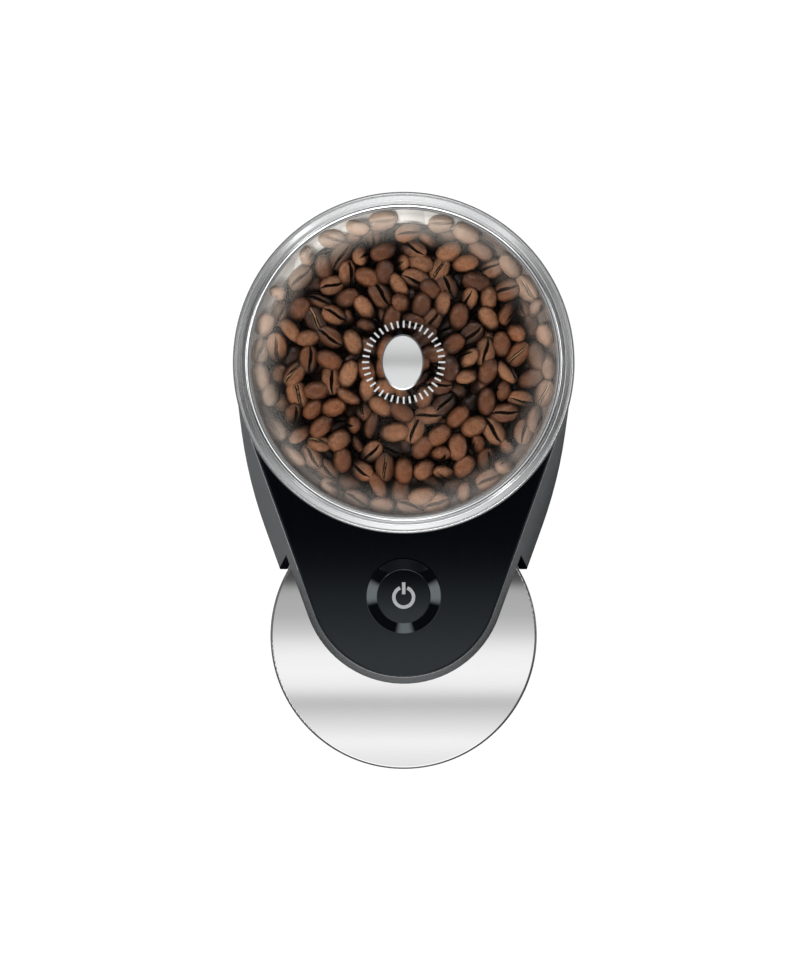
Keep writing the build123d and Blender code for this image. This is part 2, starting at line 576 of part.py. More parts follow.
AXLE_R = 2.5
MOTOR_SHAFT_R = 2.5
small_z = pinion_z + PINION_H - GEAR_AIR / 2
save(gear(PINION_TEETH, pinion_z, pinion_z + PINION_H, MOTOR_SHAFT_R + SEAT_GAP, 90), "motor_pinion")
big = gear(CLUSTER_BIG_TEETH, CASE_Z + GEAR_AIR / 2, small_z, AXLE_R + RUN_GAP, -90 + 180 / CLUSTER_BIG_TEETH)
small = gear(CLUSTER_SMALL_TEETH, small_z, COVER_Z - GEAR_AIR / 2, AXLE_R + RUN_GAP, -90)
save(Pos(0, GEAR_Y, 0) * (big + small), "cluster_gear")
save(rod(AXLE_R, MOTOR_TOP_Z, COVER_TOP_Z, 0, GEAR_Y), "cluster_axle")
output = gear(OUTPUT_TEETH, output_z, output_z + OUTPUT_H, SHAFT_R + SEAT_GAP, 90 + 180 / OUTPUT_TEETH)
save(output, "output_gear")

# Burr shaft with its two plain bearings
shaft_low = output_z - GEAR_AIR
save(rod(SHAFT_R, shaft_low, nut_z + NUT_H + 0.4), "burr_shaft")
lower_z = COVER_Z - BEARING_DEPTH
save(tube(BEARING_R, SHAFT_R + RUN_GAP, lower_z, COVER_TOP_Z - 0.1), "lower_bearing")
save(tube(BEARING_R, SHAFT_R + RUN_GAP, COVER_TOP_Z + 0.1, CHAMBER_Z), "upper_bearing")

# Gear case and cover: oval box on four pillars
CASE_AIR = 1.5  # round the largest gear
CASE_WALL = 2.5
EAR_R = 5.2
EAR_T = 6.0
MOTOR_R = 22.0
PILLAR_R = 4.4
PILLAR_AIR = 1.4  # between a pillar and the motor
CASE_R = MODULE * (CLUSTER_BIG_TEETH / 2 + ADDENDUM) + CASE_AIR
case_out = CASE_R + CASE_WALL
ear_x = max(MOTOR_R, case_out) + PILLAR_R + PILLAR_AIR
ears = mirrored([(ear_x, y) for y in (0, GEAR_Y)])


def oval(radius, z0, z1):
    """Upright oval prism round the shaft axis and the cluster axis."""
    box = Pos(0, GEAR_Y / 2, z0) * Box(2 * radius, GEAR_Y, z1 - z0, align=LOW)
    return box + rod(radius, z0, z1) + rod(radius, z0, z1, 0, GEAR_Y)


case = oval(case_out, MOTOR_TOP_Z, COVER_Z)
for x, y in ears:
    case += rod(EAR_R, MOTOR_TOP_Z, MOTOR_TOP_Z + EAR_T, x, y)
    case += Pos(x / 2, y, MOTOR_TOP_Z) * Box(ear_x, 2 * EAR_R, EAR_T, align=LOW)
case -= oval(CASE_R, CASE_Z, COVER_Z + 1)
case -= rod(MOTOR_SHAFT_R + 2, MOTOR_TOP_Z - 1, CASE_Z + 1)
case -= rod(AXLE_R + SEAT_GAP, MOTOR_TOP_Z - 1, CASE_Z + 1, 0, GEAR_Y)
for x, y in ears:
    case -= rod(SCREW_R + 0.1, MOTOR_TOP_Z - 1, MOTOR_TOP_Z + EAR_T + 1, x, y)
save(case, "gear_case")

cover = oval(case_out, COVER_Z, COVER_TOP_Z) + rod(BEARING_R + 3, lower_z, COVER_Z)
cover -= rod(BEARING_R + SEAT_GAP, lower_z - 1, COVER_TOP_Z + 1)
cover -= rod(AXLE_R + SEAT_GAP, COVER_Z - 1, COVER_TOP_Z + 1, 0, GEAR_Y)
save(cover, "gear_cover")

# Pillars and their screws
FRAME_SCREW_L = 12.0  # in the pillar
pillar = tube(PILLAR_R, SCREW_R + SEAT_GAP, BASE_TOP_Z, MOTOR_TOP_Z)
save(Compound([Pos(x, y, 0) * pillar for x, y in ears]), "frame_pillars")
frame_screw = rod(SCREW_R, MOTOR_TOP_Z - FRAME_SCREW_L, MOTOR_TOP_Z + EAR_T)
frame_screw += rod(SCREW_HEAD_R, MOTOR_TOP_Z + EAR_T, MOTOR_TOP_Z + EAR_T + SCREW_HEAD_H)
save(Compound([Pos(x, y, 0) * frame_screw for x, y in ears]), "frame_screws")

# Motor: can with two magnets and brushes, armature on the motor shaft
CAN_T = 2.0
MAGNET_T = 4.5
MOTOR_AIR = 0.8  # between magnets and armature
END_H = 10.0  # room for windings at each end
COMMUTATOR_R = 7.0
BRUSH_W = 4.0
BRUSH_H = 6.0
SLOTS = 7
SLOT_W = 2.2
can_in = MOTOR_R - CAN_T
magnet_in = can_in - MAGNET_T
armature_r = magnet_in - MOTOR_AIR
can = rod(MOTOR_R, MOTOR_Z, MOTOR_TOP_Z) - rod(can_in, MOTOR_Z + CAN_T, MOTOR_TOP_Z - CAN_T)
can += rod(3 * MOTOR_SHAFT_R, MOTOR_Z - END_H / 2, MOTOR_Z)
can -= rod(MOTOR_SHAFT_R + RUN_GAP, MOTOR_Z - END_H, MOTOR_TOP_Z + 1)
save(can, "motor_can")

magnet = tube(can_in - SEAT_GAP, magnet_in, MOTOR_Z + 1.8 * END_H, MOTOR_TOP_Z - END_H)
magnet -= Box(can_in / 2, FAR, FAR * 2)
save(magnet, "motor_magnets")

armature = rod(armature_r, MOTOR_Z + 1.9 * END_H, MOTOR_TOP_Z - 1.1 * END_H)
for i in range(SLOTS):
    slot_at = Rot(0, 0, 360 * i / SLOTS) * Pos(armature_r, 0, MOTOR_Z)
    armature -= slot_at * Box(armature_r, SLOT_W, 2 * MOTOR_L)
armature += rod(COMMUTATOR_R, MOTOR_Z + 0.6 * END_H, MOTOR_Z + 1.6 * END_H)
armature += rod(MOTOR_SHAFT_R, MOTOR_Z - END_H / 2, pinion_z + PINION_H)
save(armature, "motor_armature")

brush_l = can_in - COMMUTATOR_R - 2 * FREE_GAP
brush = Box(brush_l, BRUSH_W, BRUSH_H, align=(Align.MIN, Align.CENTER, Align.MIN))
brush = Pos(COMMUTATOR_R + FREE_GAP, 0, MOTOR_Z + 0.8 * END_H) * brush
save(Compound([brush, Rot(0, 0, 180) * brush]), "motor_brushes")

# Power button: sloped cap with a retaining flange and a stem on the switch plunger
BUTTON_SLOPE = 3.9  # width of the sloped flank
STEM_R = 3.0
BUTTON_RISE = 3.0
BUTTON_STEP = 0.3
SWITCH_H = 4.0
PLUNGER_UP = 1.5
PLUNGER_R = 1.8
plunger_top = BOARD_TOP_Z + SWITCH_H + PLUNGER_UP
keep_z = SHELL_TOP_Z - FREE_GAP
button = turned(
    (0, plunger_top),
    (STEM_R, plunger_top),
    (STEM_R, keep_z - BUTTON_KEEP),
    (BUTTON_R + BUTTON_KEEP, keep_z - BUTTON_KEEP),
    (BUTTON_R + BUTTON_KEEP, keep_z),
    (BUTTON_R, keep_z),
    (BUTTON_R, TOP_Z + BUTTON_STEP),
    (BUTTON_R - BUTTON_SLOPE, TOP_Z + BUTTON_RISE),
    (0, TOP_Z + BUTTON_RISE),
)
button = fillet(button.edges().filter_by(GeomType.CIRCLE).group_by(Axis.Z)[-1], 0.5)
save(Pos(0, BUTTON_Y, 0) * button, "power_button")

PLUNGER_IN = 2.2
plunger = rod(PLUNGER_R, BOARD_TOP_Z + SWITCH_H - 0.5, plunger_top, 0, BUTTON_Y)
save(plunger, "switch_plunger")

SWITCH_W = 9.0
switch = Pos(0, BUTTON_Y, BOARD_TOP_Z) * Box(SWITCH_W, SWITCH_W, SWITCH_H, align=LOW)
switch_top_z = BOARD_TOP_Z + SWITCH_H
switch -= rod(PLUNGER_R + RUN_GAP, switch_top_z - PLUNGER_IN, switch_top_z + 1, 0, BUTTON_Y)
save(switch, "push_switch")

# Control board below the panel posts, with its screws
BOARD_SCREW_L = 6.0  # in the post
board_w = 2 * (post_ring + POST_R + BOARD_EDGE)
board_front = BUTTON_Y - SWITCH_W / 2 - BOARD_EDGE
board_l = BUTTON_Y + post_back + POST_R + BOARD_EDGE - board_front
board = Pos(0, board_front + board_l / 2, BOARD_TOP_Z - BOARD_T) * Box(board_w, board_l, BOARD_T, align=LOW)
for x, y in board_posts:
    board -= rod(BOARD_SCREW_R + 0.1, BOARD_TOP_Z - BOARD_T - 1, BOARD_TOP_Z + 1, x, y)
save(board, "control_board")
board_screw = rod(BOARD_SCREW_R, BOARD_TOP_Z - BOARD_T, BOARD_TOP_Z + BOARD_SCREW_L)
board_screw += rod(2 * BOARD_SCREW_R, BOARD_TOP_Z - BOARD_T - 1.4 * BOARD_SCREW_R, BOARD_TOP_Z - BOARD_T)
save(Compound([Pos(x, y, 0) * board_screw for x, y in board_posts]), "board_screws")

# Container: drawn steel cup on the table, with a pressed lid and its seal
LID_SKIRT_H = 5.0
LID_EDGE = 0.9
FOOT_ROUND = 5.0
lid_under = CONTAINER_H - SHEET
cup_top = lid_under - FREE_GAP
cup_r = CONTAINER_LID_R - SHEET - FREE_GAP
cup = Cone(cup_r - CONTAINER_TAPER, cup_r, cup_top, align=LOW)
cup = fillet(cup.edges().group_by(Axis.Z)[0], FOOT_ROUND)
cup_hollow = Cone(cup_r - CONTAINER_TAPER - SHEET, cup_r - SHEET, cup_top, align=LOW)
cup_hollow = fillet(cup_hollow.edges().group_by(Axis.Z)[0], FOOT_ROUND - SHEET)
cup -= Pos(0, 0, SHEET) * cup_hollow
save(Pos(0, -CONTAINER_REACH, 0) * cup, "container")

lid = rod(CONTAINER_LID_R, CONTAINER_H - LID_SKIRT_H, CONTAINER_H)
lid = fillet(lid.edges().group_by(Axis.Z)[-1], LID_EDGE)
lid -= rod(CONTAINER_LID_R - SHEET, 0, lid_under)
lid += tube(INLET_R + SHEET, INLET_R, CONTAINER_H - LID_SKIRT_H, lid_under)
lid -= rod(INLET_R, 0, CONTAINER_H + 1)
save(Pos(0, -CONTAINER_REACH, 0) * lid, "container_lid")

seal_r = cup_r - SHEET - 2 * FREE_GAP
save(tube(seal_r, seal_r - 2.4, lid_under - 3, lid_under, 0, -CONTAINER_REACH), "container_seal")
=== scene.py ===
import math

import bpy
import numpy as np
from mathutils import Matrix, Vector


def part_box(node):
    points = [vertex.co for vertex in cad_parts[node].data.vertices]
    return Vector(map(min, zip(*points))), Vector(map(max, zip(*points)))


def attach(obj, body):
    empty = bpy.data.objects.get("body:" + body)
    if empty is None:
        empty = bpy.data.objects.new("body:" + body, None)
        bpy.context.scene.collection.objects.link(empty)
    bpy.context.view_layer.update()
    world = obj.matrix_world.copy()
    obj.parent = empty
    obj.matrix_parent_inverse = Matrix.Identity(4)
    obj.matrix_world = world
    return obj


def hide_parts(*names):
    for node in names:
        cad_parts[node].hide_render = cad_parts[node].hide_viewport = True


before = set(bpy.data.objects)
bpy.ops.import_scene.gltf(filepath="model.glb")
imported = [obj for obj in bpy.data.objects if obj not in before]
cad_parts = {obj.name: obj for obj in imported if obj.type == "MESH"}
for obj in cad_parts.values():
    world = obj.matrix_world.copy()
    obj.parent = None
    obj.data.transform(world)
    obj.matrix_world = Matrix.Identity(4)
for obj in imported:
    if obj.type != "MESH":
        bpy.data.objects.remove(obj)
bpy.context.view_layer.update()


# Base cover: the floor plate under the drive, moulded in black plastic with slots
# for cooling air. Its face has a fine sparked grain from the mould, and four screws
# hold it up into the bosses of the housing.
class Wire:
    """A socket of a node tree. Sums, products and powers of wires add Math nodes to that tree."""

    def __init__(self, tree, socket):
        self.tree = tree
        self.socket = socket

    def node(self, kind, settings, sockets, out=0):
        """A new node: its settings come first, then each socket takes a value or a wire."""
        made = self.tree.nodes.new("ShaderNode" + kind)
        for name, value in settings.items():
            if name == "stops":
                ramp = made.color_ramp
                ramp.elements[0].position = value[0][0]
                ramp.elements[1].position = value[-1][0]
                for place, _ in value[1:-1]:
                    ramp.elements.new(place)
                for element, (_, colour) in zip(ramp.elements, value):
                    element.color = colour
            else:
                setattr(made, name, value)
        for name, value in sockets.items():
            if isinstance(value, Wire):
                self.tree.links.new(value.socket, made.inputs[name])
            else:
                made.inputs[name].default_value = value
        return Wire(self.tree, made.outputs[out] if made.outputs else None)

    def maths(self, operation, first, second=0.0):
        return self.node("Math", {"operation": operation}, {0: first, 1: second})

    def __add__(self, other):
        return self.maths("ADD", self, other)

    __radd__ = __add__

    def __sub__(self, other):
        return self.maths("SUBTRACT", self, other)

    def __rsub__(self, other):
        return self.maths("SUBTRACT", other, self)

    def __mul__(self, other):
        return self.maths("MULTIPLY", self, other)

    __rmul__ = __mul__

    def __truediv__(self, other):
        return self.maths("DIVIDE", self, other)

    def __pow__(self, other):
        return self.maths("POWER", self, other)


def finish(name):
    """A new material, and the wire of the Object coordinates that its pattern follows."""
    made = bpy.data.materials.new(name)
    made.use_nodes = True
    made.node_tree.nodes.clear()
    return made, Wire(made.node_tree, None).node("TexCoord", {}, {}, "Object")


def dress(made, shader, *pieces):
    """Makes the shader the material's surface, and puts the material on CAD nodes and new pieces."""
    shader.node("OutputMaterial", {}, {"Surface": shader})
    for piece in pieces:
        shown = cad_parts[piece] if isinstance(piece, str) else piece
        if not shown.material_slots:
            shown.data.materials.append(made)
        for held in shown.material_slots:
            held.material = made


def cloud(at, scale, detail):
    """Soft noise from 0 to 1, with that many clouds to the metre."""
    return at.node("TexNoise", {}, {"Vector": at, "Scale": scale, "Detail": detail})


def step(value, low, high):
    """Smooth rise from 0 at low to 1 at high."""
    ends = {"Value": value, "From Min": low, "From Max": high}
    return value.node("MapRange", {"interpolation_type": "SMOOTHSTEP"}, ends)


def between(share, first, second):
    """Colour that goes from the first to the second as the share goes from 0 to 1."""
    return share.node("Mix", {"data_type": "RGBA"}, {0: share, 6: first, 7: second}, 2)


def relief(height, depth):
    """Surface normal of a fine relief that is that deep, in metres."""
    return height.node("Bump", {}, {"Height": height, "Distance": depth, "Strength": 1.0})


def moulded(name, colour, shine, grain, depth):
    """Moulded plastic: a sparked grain as relief, a tone that drifts with the flow of the
    melt, and a gloss that follows both."""
    made, at = finish(name)
    flow = cloud(at, 22.0, 3.0)
    spark = cloud(at, grain, 3.0)
    dark = tuple(0.80 * c for c in colour) + (1.0,)
    light = tuple(1.18 * c for c in colour) + (1.0,)
    tone = between(step(0.55 * flow + 0.45 * spark, 0.3, 0.7), dark, light)
    gloss = shine - 0.06 + 0.14 * spark - 0.05 * flow
    sockets = {"Base Color": tone, "Roughness": gloss, "Normal": relief(spark, depth)}
    return made, at.node("BsdfPrincipled", {}, sockets)


dress(*moulded("black_moulding", (0.022, 0.022, 0.024), 0.52, 1700.0, 0.00006), "base_cover")


# Rubber feet and cord gland: pads and a sleeve pushed into holes of the base cover and
# the rear wall. They are pressed from black rubber, dull, with a pitted skin and paler
# dust rubbed into it.
def cells(at, scale, out="Distance"):
    """Distance from the nearest of many scattered points, or the colour that each point has."""
    return at.node("TexVoronoi", {}, {"Vector": at, "Scale": scale}, out)


made, at = finish("pressed_rubber")
pits = cells(at, 1300.0)
dust_and_painted_rim_light = step(cloud(at, 130.0, 4.0), 0.48, 0.75)
tone = between(dust_and_painted_rim_light, (0.018, 0.018, 0.019, 1.0), (0.055, 0.053, 0.050, 1.0))
skin = {"Base Color": tone, "Roughness": 0.72 + 0.2 * dust_and_painted_rim_light, "Normal": relief(pits, 0.00008)}
dress(made, at.node("BsdfPrincipled", {}, skin), "rubber_feet", "cord_gland")


# Base, frame and board screws, the cluster axle, the burr shaft and its nut: cut and
# rolled from steel bar, so fine turning lines run round them, with a light oil film.
def lines(at, x, y, z, detail):
    """Soft noise drawn out into lines, with that many clouds to the metre along each axis."""
    return cloud(at.node("Mapping", {}, {"Vector": at, "Scale": (x, y, z)}), 1.0, detail)


made, at = finish("turned_steel")
turning = lines(at, 900.0, 900.0, 9000.0, 2.0)
oil = cloud(at, 160.0, 3.0)
film = step(0.6 * oil + 0.4 * turning, 0.3, 0.7)
tone = between(film, (0.36, 0.36, 0.37, 1.0), (0.60, 0.60, 0.60, 1.0))
steel = {"Base Color": tone, "Metallic": 1.0, "Roughness": 0.22 + 0.16 * turning + 0.1 * oil}
steel["Normal"] = relief(turning, 0.00001)
steel_pieces = ["base_screws", "frame_screws", "board_screws", "cluster_axle", "burr_shaft", "burr_nut"]
dress(made, at.node("BsdfPrincipled", {}, steel), *steel_pieces)

# Drive frame: pillars, gear case with its cover, grind chamber and burr carrier, all
# moulded in grey plastic filled with short glass fibre, which shows as pale flecks.
made, at = finish("fibre_filled_plastic")
slant = {"Vector": at, "Rotation": (0.4, 0.3, 0.7), "Scale": (900.0, 900.0, 220.0)}
fleck = step(cloud(at.node("Mapping", {}, slant), 1.0, 3.0), 0.60, 0.74)
flow = cloud(at, 30.0, 3.0)
base = between(flow, (0.030, 0.032, 0.034, 1.0), (0.060, 0.063, 0.066, 1.0))
tone = between(0.55 * fleck, base, (0.22, 0.22, 0.22, 1.0))
filled = {"Base Color": tone, "Roughness": 0.44 + 0.18 * flow - 0.1 * fleck}
filled["Normal"] = relief(fleck, 0.00003)
frame_pieces = ["frame_pillars", "gear_case", "gear_cover", "grind_chamber", "burr_carrier"]
dress(made, at.node("BsdfPrincipled", {}, filled), *frame_pieces)

# Motor can: drawn steel sheet with a zinc coat, whose spangle shows as flat grey
# crystals. It hangs from the gear case and holds the magnets and the brushes.
made, at = finish("zinc_coat")
spangle = cells(at, 240.0, "Color")
crystal = spangle.node("SeparateColor", {}, {"Color": spangle}, 0)
drawn = lines(at, 160.0, 160.0, 5000.0, 2.0)
tone = between(0.7 * crystal + 0.3 * drawn, (0.34, 0.36, 0.38, 1.0), (0.62, 0.64, 0.66, 1.0))
zinc = {"Base Color": tone, "Metallic": 1.0, "Roughness": 0.28 + 0.2 * crystal}
zinc["Normal"] = relief(drawn, 0.000012)
dress(made, at.node("BsdfPrincipled", {}, zinc), "motor_can")

# Magnets and brushes: pressed from ferrite and from carbon powder, both dark grey and
# matt, with open grain, small chips and sliding marks.
made, at = finish("pressed_powder")
powder = cloud(at, 1500.0, 4.0)
chips = step(cells(at, 420.0), 0.05, 0.22)
tone = between(step(powder, 0.3, 0.7) * chips, (0.012, 0.012, 0.013, 1.0), (0.060, 0.060, 0.063, 1.0))
pressed = {"Base Color": tone, "Roughness": 0.62 + 0.25 * powder, "Normal": relief(powder, 0.00006)}
dress(made, at.node("BsdfPrincipled", {}, pressed), "motor_magnets", "motor_brushes")

# Armature: a stack of thin steel plates on the motor shaft, each with its slots, wound
# with enamelled copper wire that shows at the ends, and a copper commutator below.
STACK_LOW, STACK_HIGH, STACK_EDGE = 0.0615, 0.1025, 0.0010


def coordinate(at, axis):
    """One of the coordinates: 0 runs across, 1 from front to rear and 2 up."""
    return at.node("SeparateXYZ", {}, {"Vector": at}, axis)


made, at = finish("armature_stack")
height = coordinate(at, 2)
plates = 0.5 + 0.5 * height.maths("SINE", height * 9000.0)
stack = step(height, STACK_LOW, STACK_LOW + STACK_EDGE)
stack = stack * (1.0 - step(height, STACK_HIGH, STACK_HIGH + STACK_EDGE))
winding = lines(at, 1400.0, 1400.0, 500.0, 3.0)
copper = between(winding, (0.42, 0.13, 0.04, 1.0), (0.78, 0.32, 0.13, 1.0))
iron = between(plates, (0.16, 0.16, 0.17, 1.0), (0.48, 0.48, 0.49, 1.0))
wound = {"Base Color": between(stack, copper, iron), "Metallic": 1.0, "Roughness": 0.26 + 0.2 * winding}
wound["Normal"] = relief(stack * plates + (1.0 - stack) * winding, 0.00004)
dress(made, at.node("BsdfPrincipled", {}, wound), "motor_armature")

# Motor pinion and shaft bearings: sintered bronze, pressed from powder and soaked in
# oil, so the yellow metal is speckled with dark pores.
made, at = finish("sintered_bronze")
pores = cells(at, 1900.0)
open_pore = 1.0 - step(pores, 0.12, 0.32)
worn = cloud(at, 240.0, 3.0)
metal = between(worn, (0.36, 0.20, 0.07, 1.0), (0.68, 0.44, 0.19, 1.0))
tone = between(0.75 * open_pore, metal, (0.06, 0.035, 0.015, 1.0))
sinter = {"Base Color": tone, "Metallic": 1.0, "Roughness": 0.30 + 0.35 * open_pore + 0.1 * worn}
sinter["Normal"] = relief(pores, 0.00003)
dress(made, at.node("BsdfPrincipled", {}, sinter), "motor_pinion", "lower_bearing", "upper_bearing")

# Cluster gear, output gear and sweeper: moulded in slippery off-white plastic, waxy,
# with a trace of grease and brown coffee dust that gathers in patches.
made, at = finish("gear_plastic")
flow = cloud(at, 60.0, 3.0)
grease = step(cloud(at, 210.0, 4.0), 0.52, 0.72)
wax = between(flow, (0.60, 0.58, 0.51, 1.0), (0.78, 0.76, 0.69, 1.0))
tone = between(0.35 * grease, wax, (0.40, 0.27, 0.15, 1.0))
waxy = {"Base Color": tone, "Roughness": 0.40 - 0.2 * grease + 0.1 * flow, "Normal": relief(flow, 0.00008)}
waxy["Subsurface Weight"] = 0.1
waxy["Subsurface Radius"] = (0.002, 0.0016, 0.001)
dress(made, at.node("BsdfPrincipled", {}, waxy), "cluster_gear", "output_gear", "sweeper")

# Ring burr and conical burr: cast, hardened and ground in steel. The cutting edges are
# bright, and the flutes keep a darker heat colour with coffee dust in them.
made, at = finish("ground_burr_steel")
ground = lines(at, 600.0, 600.0, 7000.0, 2.0)
heat = cloud(at, 90.0, 3.0)
dust_and_painted_rim_light = step(cloud(at, 420.0, 4.0), 0.55, 0.75)
bright = between(heat, (0.34, 0.32, 0.30, 1.0), (0.62, 0.61, 0.60, 1.0))
tone = between(0.5 * dust_and_painted_rim_light, bright, (0.10, 0.055, 0.03, 1.0))
burr = {"Base Color": tone, "Metallic": 1.0 - 0.4 * dust_and_painted_rim_light, "Roughness": 0.24 + 0.14 * ground + 0.3 * dust_and_painted_rim_light}
burr["Normal"] = relief(ground, 0.000015)
dress(made, at.node("BsdfPrincipled", {}, burr), "ring_burr", "conical_burr")

# Exit chute, bay panel, switch body and its plunger: black mouldings. The chute leads
# the ground coffee to the spout, and the panel clips in behind the container.
panel_plastic = moulded("black_panel_moulding", (0.014, 0.014, 0.015), 0.40, 1500.0, 0.00005)
dress(*panel_plastic, "exit_chute", "bay_panel")
switch_plastic = moulded("switch_moulding", (0.030, 0.030, 0.033), 0.36, 2600.0, 0.00002)
dress(*switch_plastic, "push_switch", "switch_plunger")

# Housing shell: the drafted teardrop body, moulded in one piece in graphite plastic
# with a fine matt grain. Its raked front, round the container bay, is matt near-black.
FRONT_Y, FRONT_RAKE, FRONT_TOP = -0.0360, 0.04776, 0.1330
made, at = finish("graphite_housing")
spark = cloud(at, 2300.0, 3.0)
flow = cloud(at, 16.0, 3.0)
mica = step(cloud(at, 5200.0, 1.0), 0.66, 0.80)
drift = step(0.6 * flow + 0.4 * spark, 0.3, 0.7)
tone = between(drift, (0.015, 0.0185, 0.0215, 1.0), (0.0225, 0.0265, 0.0295, 1.0))
tone = between(0.15 * mica, tone, (0.26, 0.27, 0.28, 1.0))
shell_z = coordinate(at, 2)
behind_front = coordinate(at, 1) - FRONT_Y - FRONT_RAKE * shell_z
under_top = 1.0 - step(shell_z, FRONT_TOP, FRONT_TOP + 0.0007)
front = (1.0 - step(behind_front, 0.0003, 0.0008)) * under_top
graphite = {"Base Color": tone, "Roughness": 0.46 + 0.12 * spark + 0.08 * flow}
graphite["Normal"] = relief(spark, 0.00003)
graphite["Specular IOR Level"] = 0.11
body = at.node("BsdfPrincipled", {}, graphite)
matt_black = at.node("BsdfDiffuse", {}, {"Color": (0.004, 0.004, 0.005, 1.0)})
dress(made, at.node("MixShader", {}, {0: front, 1: body, 2: matt_black}), "housing_shell")

# Control board: glass-fibre sheet under green lacquer. Copper tracks show through as
# paler lines, and the weave of the glass as a faint square pattern.
made, at = finish("board_lacquer")
tracks = at.node("TexBrick", {"offset": 0.37}, {"Vector": at, "Scale": 240.0, "Mortar Size": 0.06}, "Fac")
weave = at.node("TexChecker", {}, {"Vector": at, "Scale": 2200.0}, "Fac")
pool = cloud(at, 110.0, 3.0)
green = between(0.7 * pool + 0.3 * weave, (0.006, 0.055, 0.022, 1.0), (0.012, 0.100, 0.040, 1.0))
tone = between(tracks, green, (0.045, 0.21, 0.075, 1.0))
lacquer = {"Base Color": tone, "Roughness": 0.22 + 0.12 * pool, "Normal": relief(tracks, 0.00004)}
dress(made, at.node("BsdfPrincipled", {}, lacquer), "control_board")


# Top panel: a glossy black moulding off a polished mould. The skin has a very slight
# orange peel, and wiping has left thin dull streaks.
def piano_black(at, deep, dull, facing):
    """Glossy black plastic: tiny paler specks in a deep tone, and streaks that are less glossy."""
    streak = lines(at, 900.0, 130.0, 400.0, 3.0)
    specks = step(cloud(at, 3600.0, 1.0), 0.74, 0.82)
    tone = between(specks, deep, (0.004, 0.0045, 0.0055, 1.0))
    gloss = {"Base Color": tone, "Roughness": dull + 0.012 * streak + 0.02 * specks, "Normal": facing}
    gloss["Specular Tint"] = (0.84, 0.95, 1.0, 1.0)
    return at.node("BsdfPrincipled", {}, gloss)


made, at = finish("piano_black")
peel = relief(cloud(at, 150.0, 1.0), 0.0000003)
dress(made, piano_black(at, (0.0006, 0.0012, 0.0022, 1.0), 0.032, peel), "top_panel")

# Power button: a glossy black cap off the same kind of mould, with a sloped edge and a
# face that is crowned by a hundredth of a millimetre.
button_low, button_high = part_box("power_button")
button_x = (button_low.x + button_high.x) / 2
button_y = (button_low.y + button_high.y) / 2
CROWN_BACK, CROWN_SLOPE = 0.0030, 0.26


def vector(operation, first, second=(0.0, 0.0, 0.0), out=0):
    """Vector maths of two sets of coordinates. Where the result is a number, out is Value."""
    return first.node("VectorMath", {"operation": operation}, {0: first, 1: second}, out)


made, at = finish("piano_black_cap")
from_mid = vector("SUBTRACT", at, (button_x, button_y + CROWN_BACK, 0.0))
crown = vector("MULTIPLY", from_mid, (CROWN_SLOPE, CROWN_SLOPE, 0.0))
facing = vector("NORMALIZE", vector("ADD", at.node("NewGeometry", {}, {}, "Normal"), crown))
dress(made, piano_black(at, (0.0005, 0.0010, 0.0018, 1.0), 0.030, facing), "power_button")

# Power mark: the standby sign in pale grey ink, a ring open at the rear with a short
# bar in the gap, printed on the face of the button.
MARK_R, STROKE, INK = 0.0037, 0.00128, 0.00005
mark_y = button_y - 0.0003


def shaped(name, points, faces):
    """A new piece: a mesh of those points and faces, linked to the scene."""
    mesh = bpy.data.meshes.new(name)
    mesh.from_pydata(points.reshape(-1, 3).tolist(), [], faces)
    shown = bpy.data.objects.new(name, mesh)
    bpy.context.scene.collection.objects.link(shown)
    return shown


def surface(name, points, columns_meet=False, rows_meet=False, ends=False):
    """A mesh from a grid of points, rows by columns by 3. The last column or row may meet
    the first, and the end rows may be closed."""
    rows, columns = points.shape[:2]
    row_at = np.arange(rows - (not rows_meet))
    column_at = np.arange(columns - (not columns_meet))
    row, column = np.meshgrid(row_at, column_at, indexing="ij")
    here, below = row * columns, (row + 1) % rows * columns
    right = (column + 1) % columns
    corners = [here + column, here + right, below + right, below + column]
    faces = np.stack(corners, axis=-1).reshape(-1, 4).tolist()
    if ends:
        faces += [list(range(columns))[::-1], list(range((rows - 1) * columns, rows * columns))]
    return shaped(name, points, faces)


def flat_stroke(name, line):
    """A stroke of ink: a rectangle, as wide as the stroke and as high as the ink, carried
    along a line in the plane of the button's face."""
    way = np.gradient(line, axis=0)
    side = np.stack([way[:, 1], -way[:, 0]], axis=1)
    side *= 0.5 * STROKE / np.linalg.norm(side, axis=1, keepdims=True)
    across = np.array([-1.0, 1.0, 1.0, -1.0])
    flat = line[:, None, :] + across[None, :, None] * side[:, None, :]
    level = button_high.z + np.array([0.0, 0.0, INK, INK])
    height = np.broadcast_to(level[None, :, None], (len(line), 4, 1))
    return surface(name, np.concatenate([flat, height], axis=2), columns_meet=True, ends=True)


def printed(name, mesh_scale, dark, light, dull):
    """Screen-printed ink: the mesh of the screen shows faintly in its tone, gloss and relief."""
    made, at = finish(name)
    screen = cloud(at, mesh_scale, 2.0)
    ink = {"Base Color": between(screen, dark, light), "Roughness": dull + 0.2 * screen}
    ink["Normal"] = relief(screen, 0.00001)
    return made, at.node("BsdfPrincipled", {}, ink)


sweep = np.radians(np.linspace(111.0, 429.0, 80))
ring_line = np.stack([button_x + MARK_R * np.cos(sweep), mark_y + MARK_R * np.sin(sweep)], axis=1)
bar_line = np.stack([np.full(6, button_x), mark_y + np.linspace(0.0011, 0.0056, 6)], axis=1)
stroke_ring = flat_stroke("power_mark_ring", ring_line)
stroke_bar = flat_stroke("power_mark_bar", bar_line)
pale_ink = printed("mark_ink", 4200.0, (0.33, 0.345, 0.35, 1.0), (0.44, 0.45, 0.455, 1.0), 0.35)
dress(*pale_ink, stroke_ring, stroke_bar)
for stroke in (stroke_ring, stroke_bar):
    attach(stroke, "button")


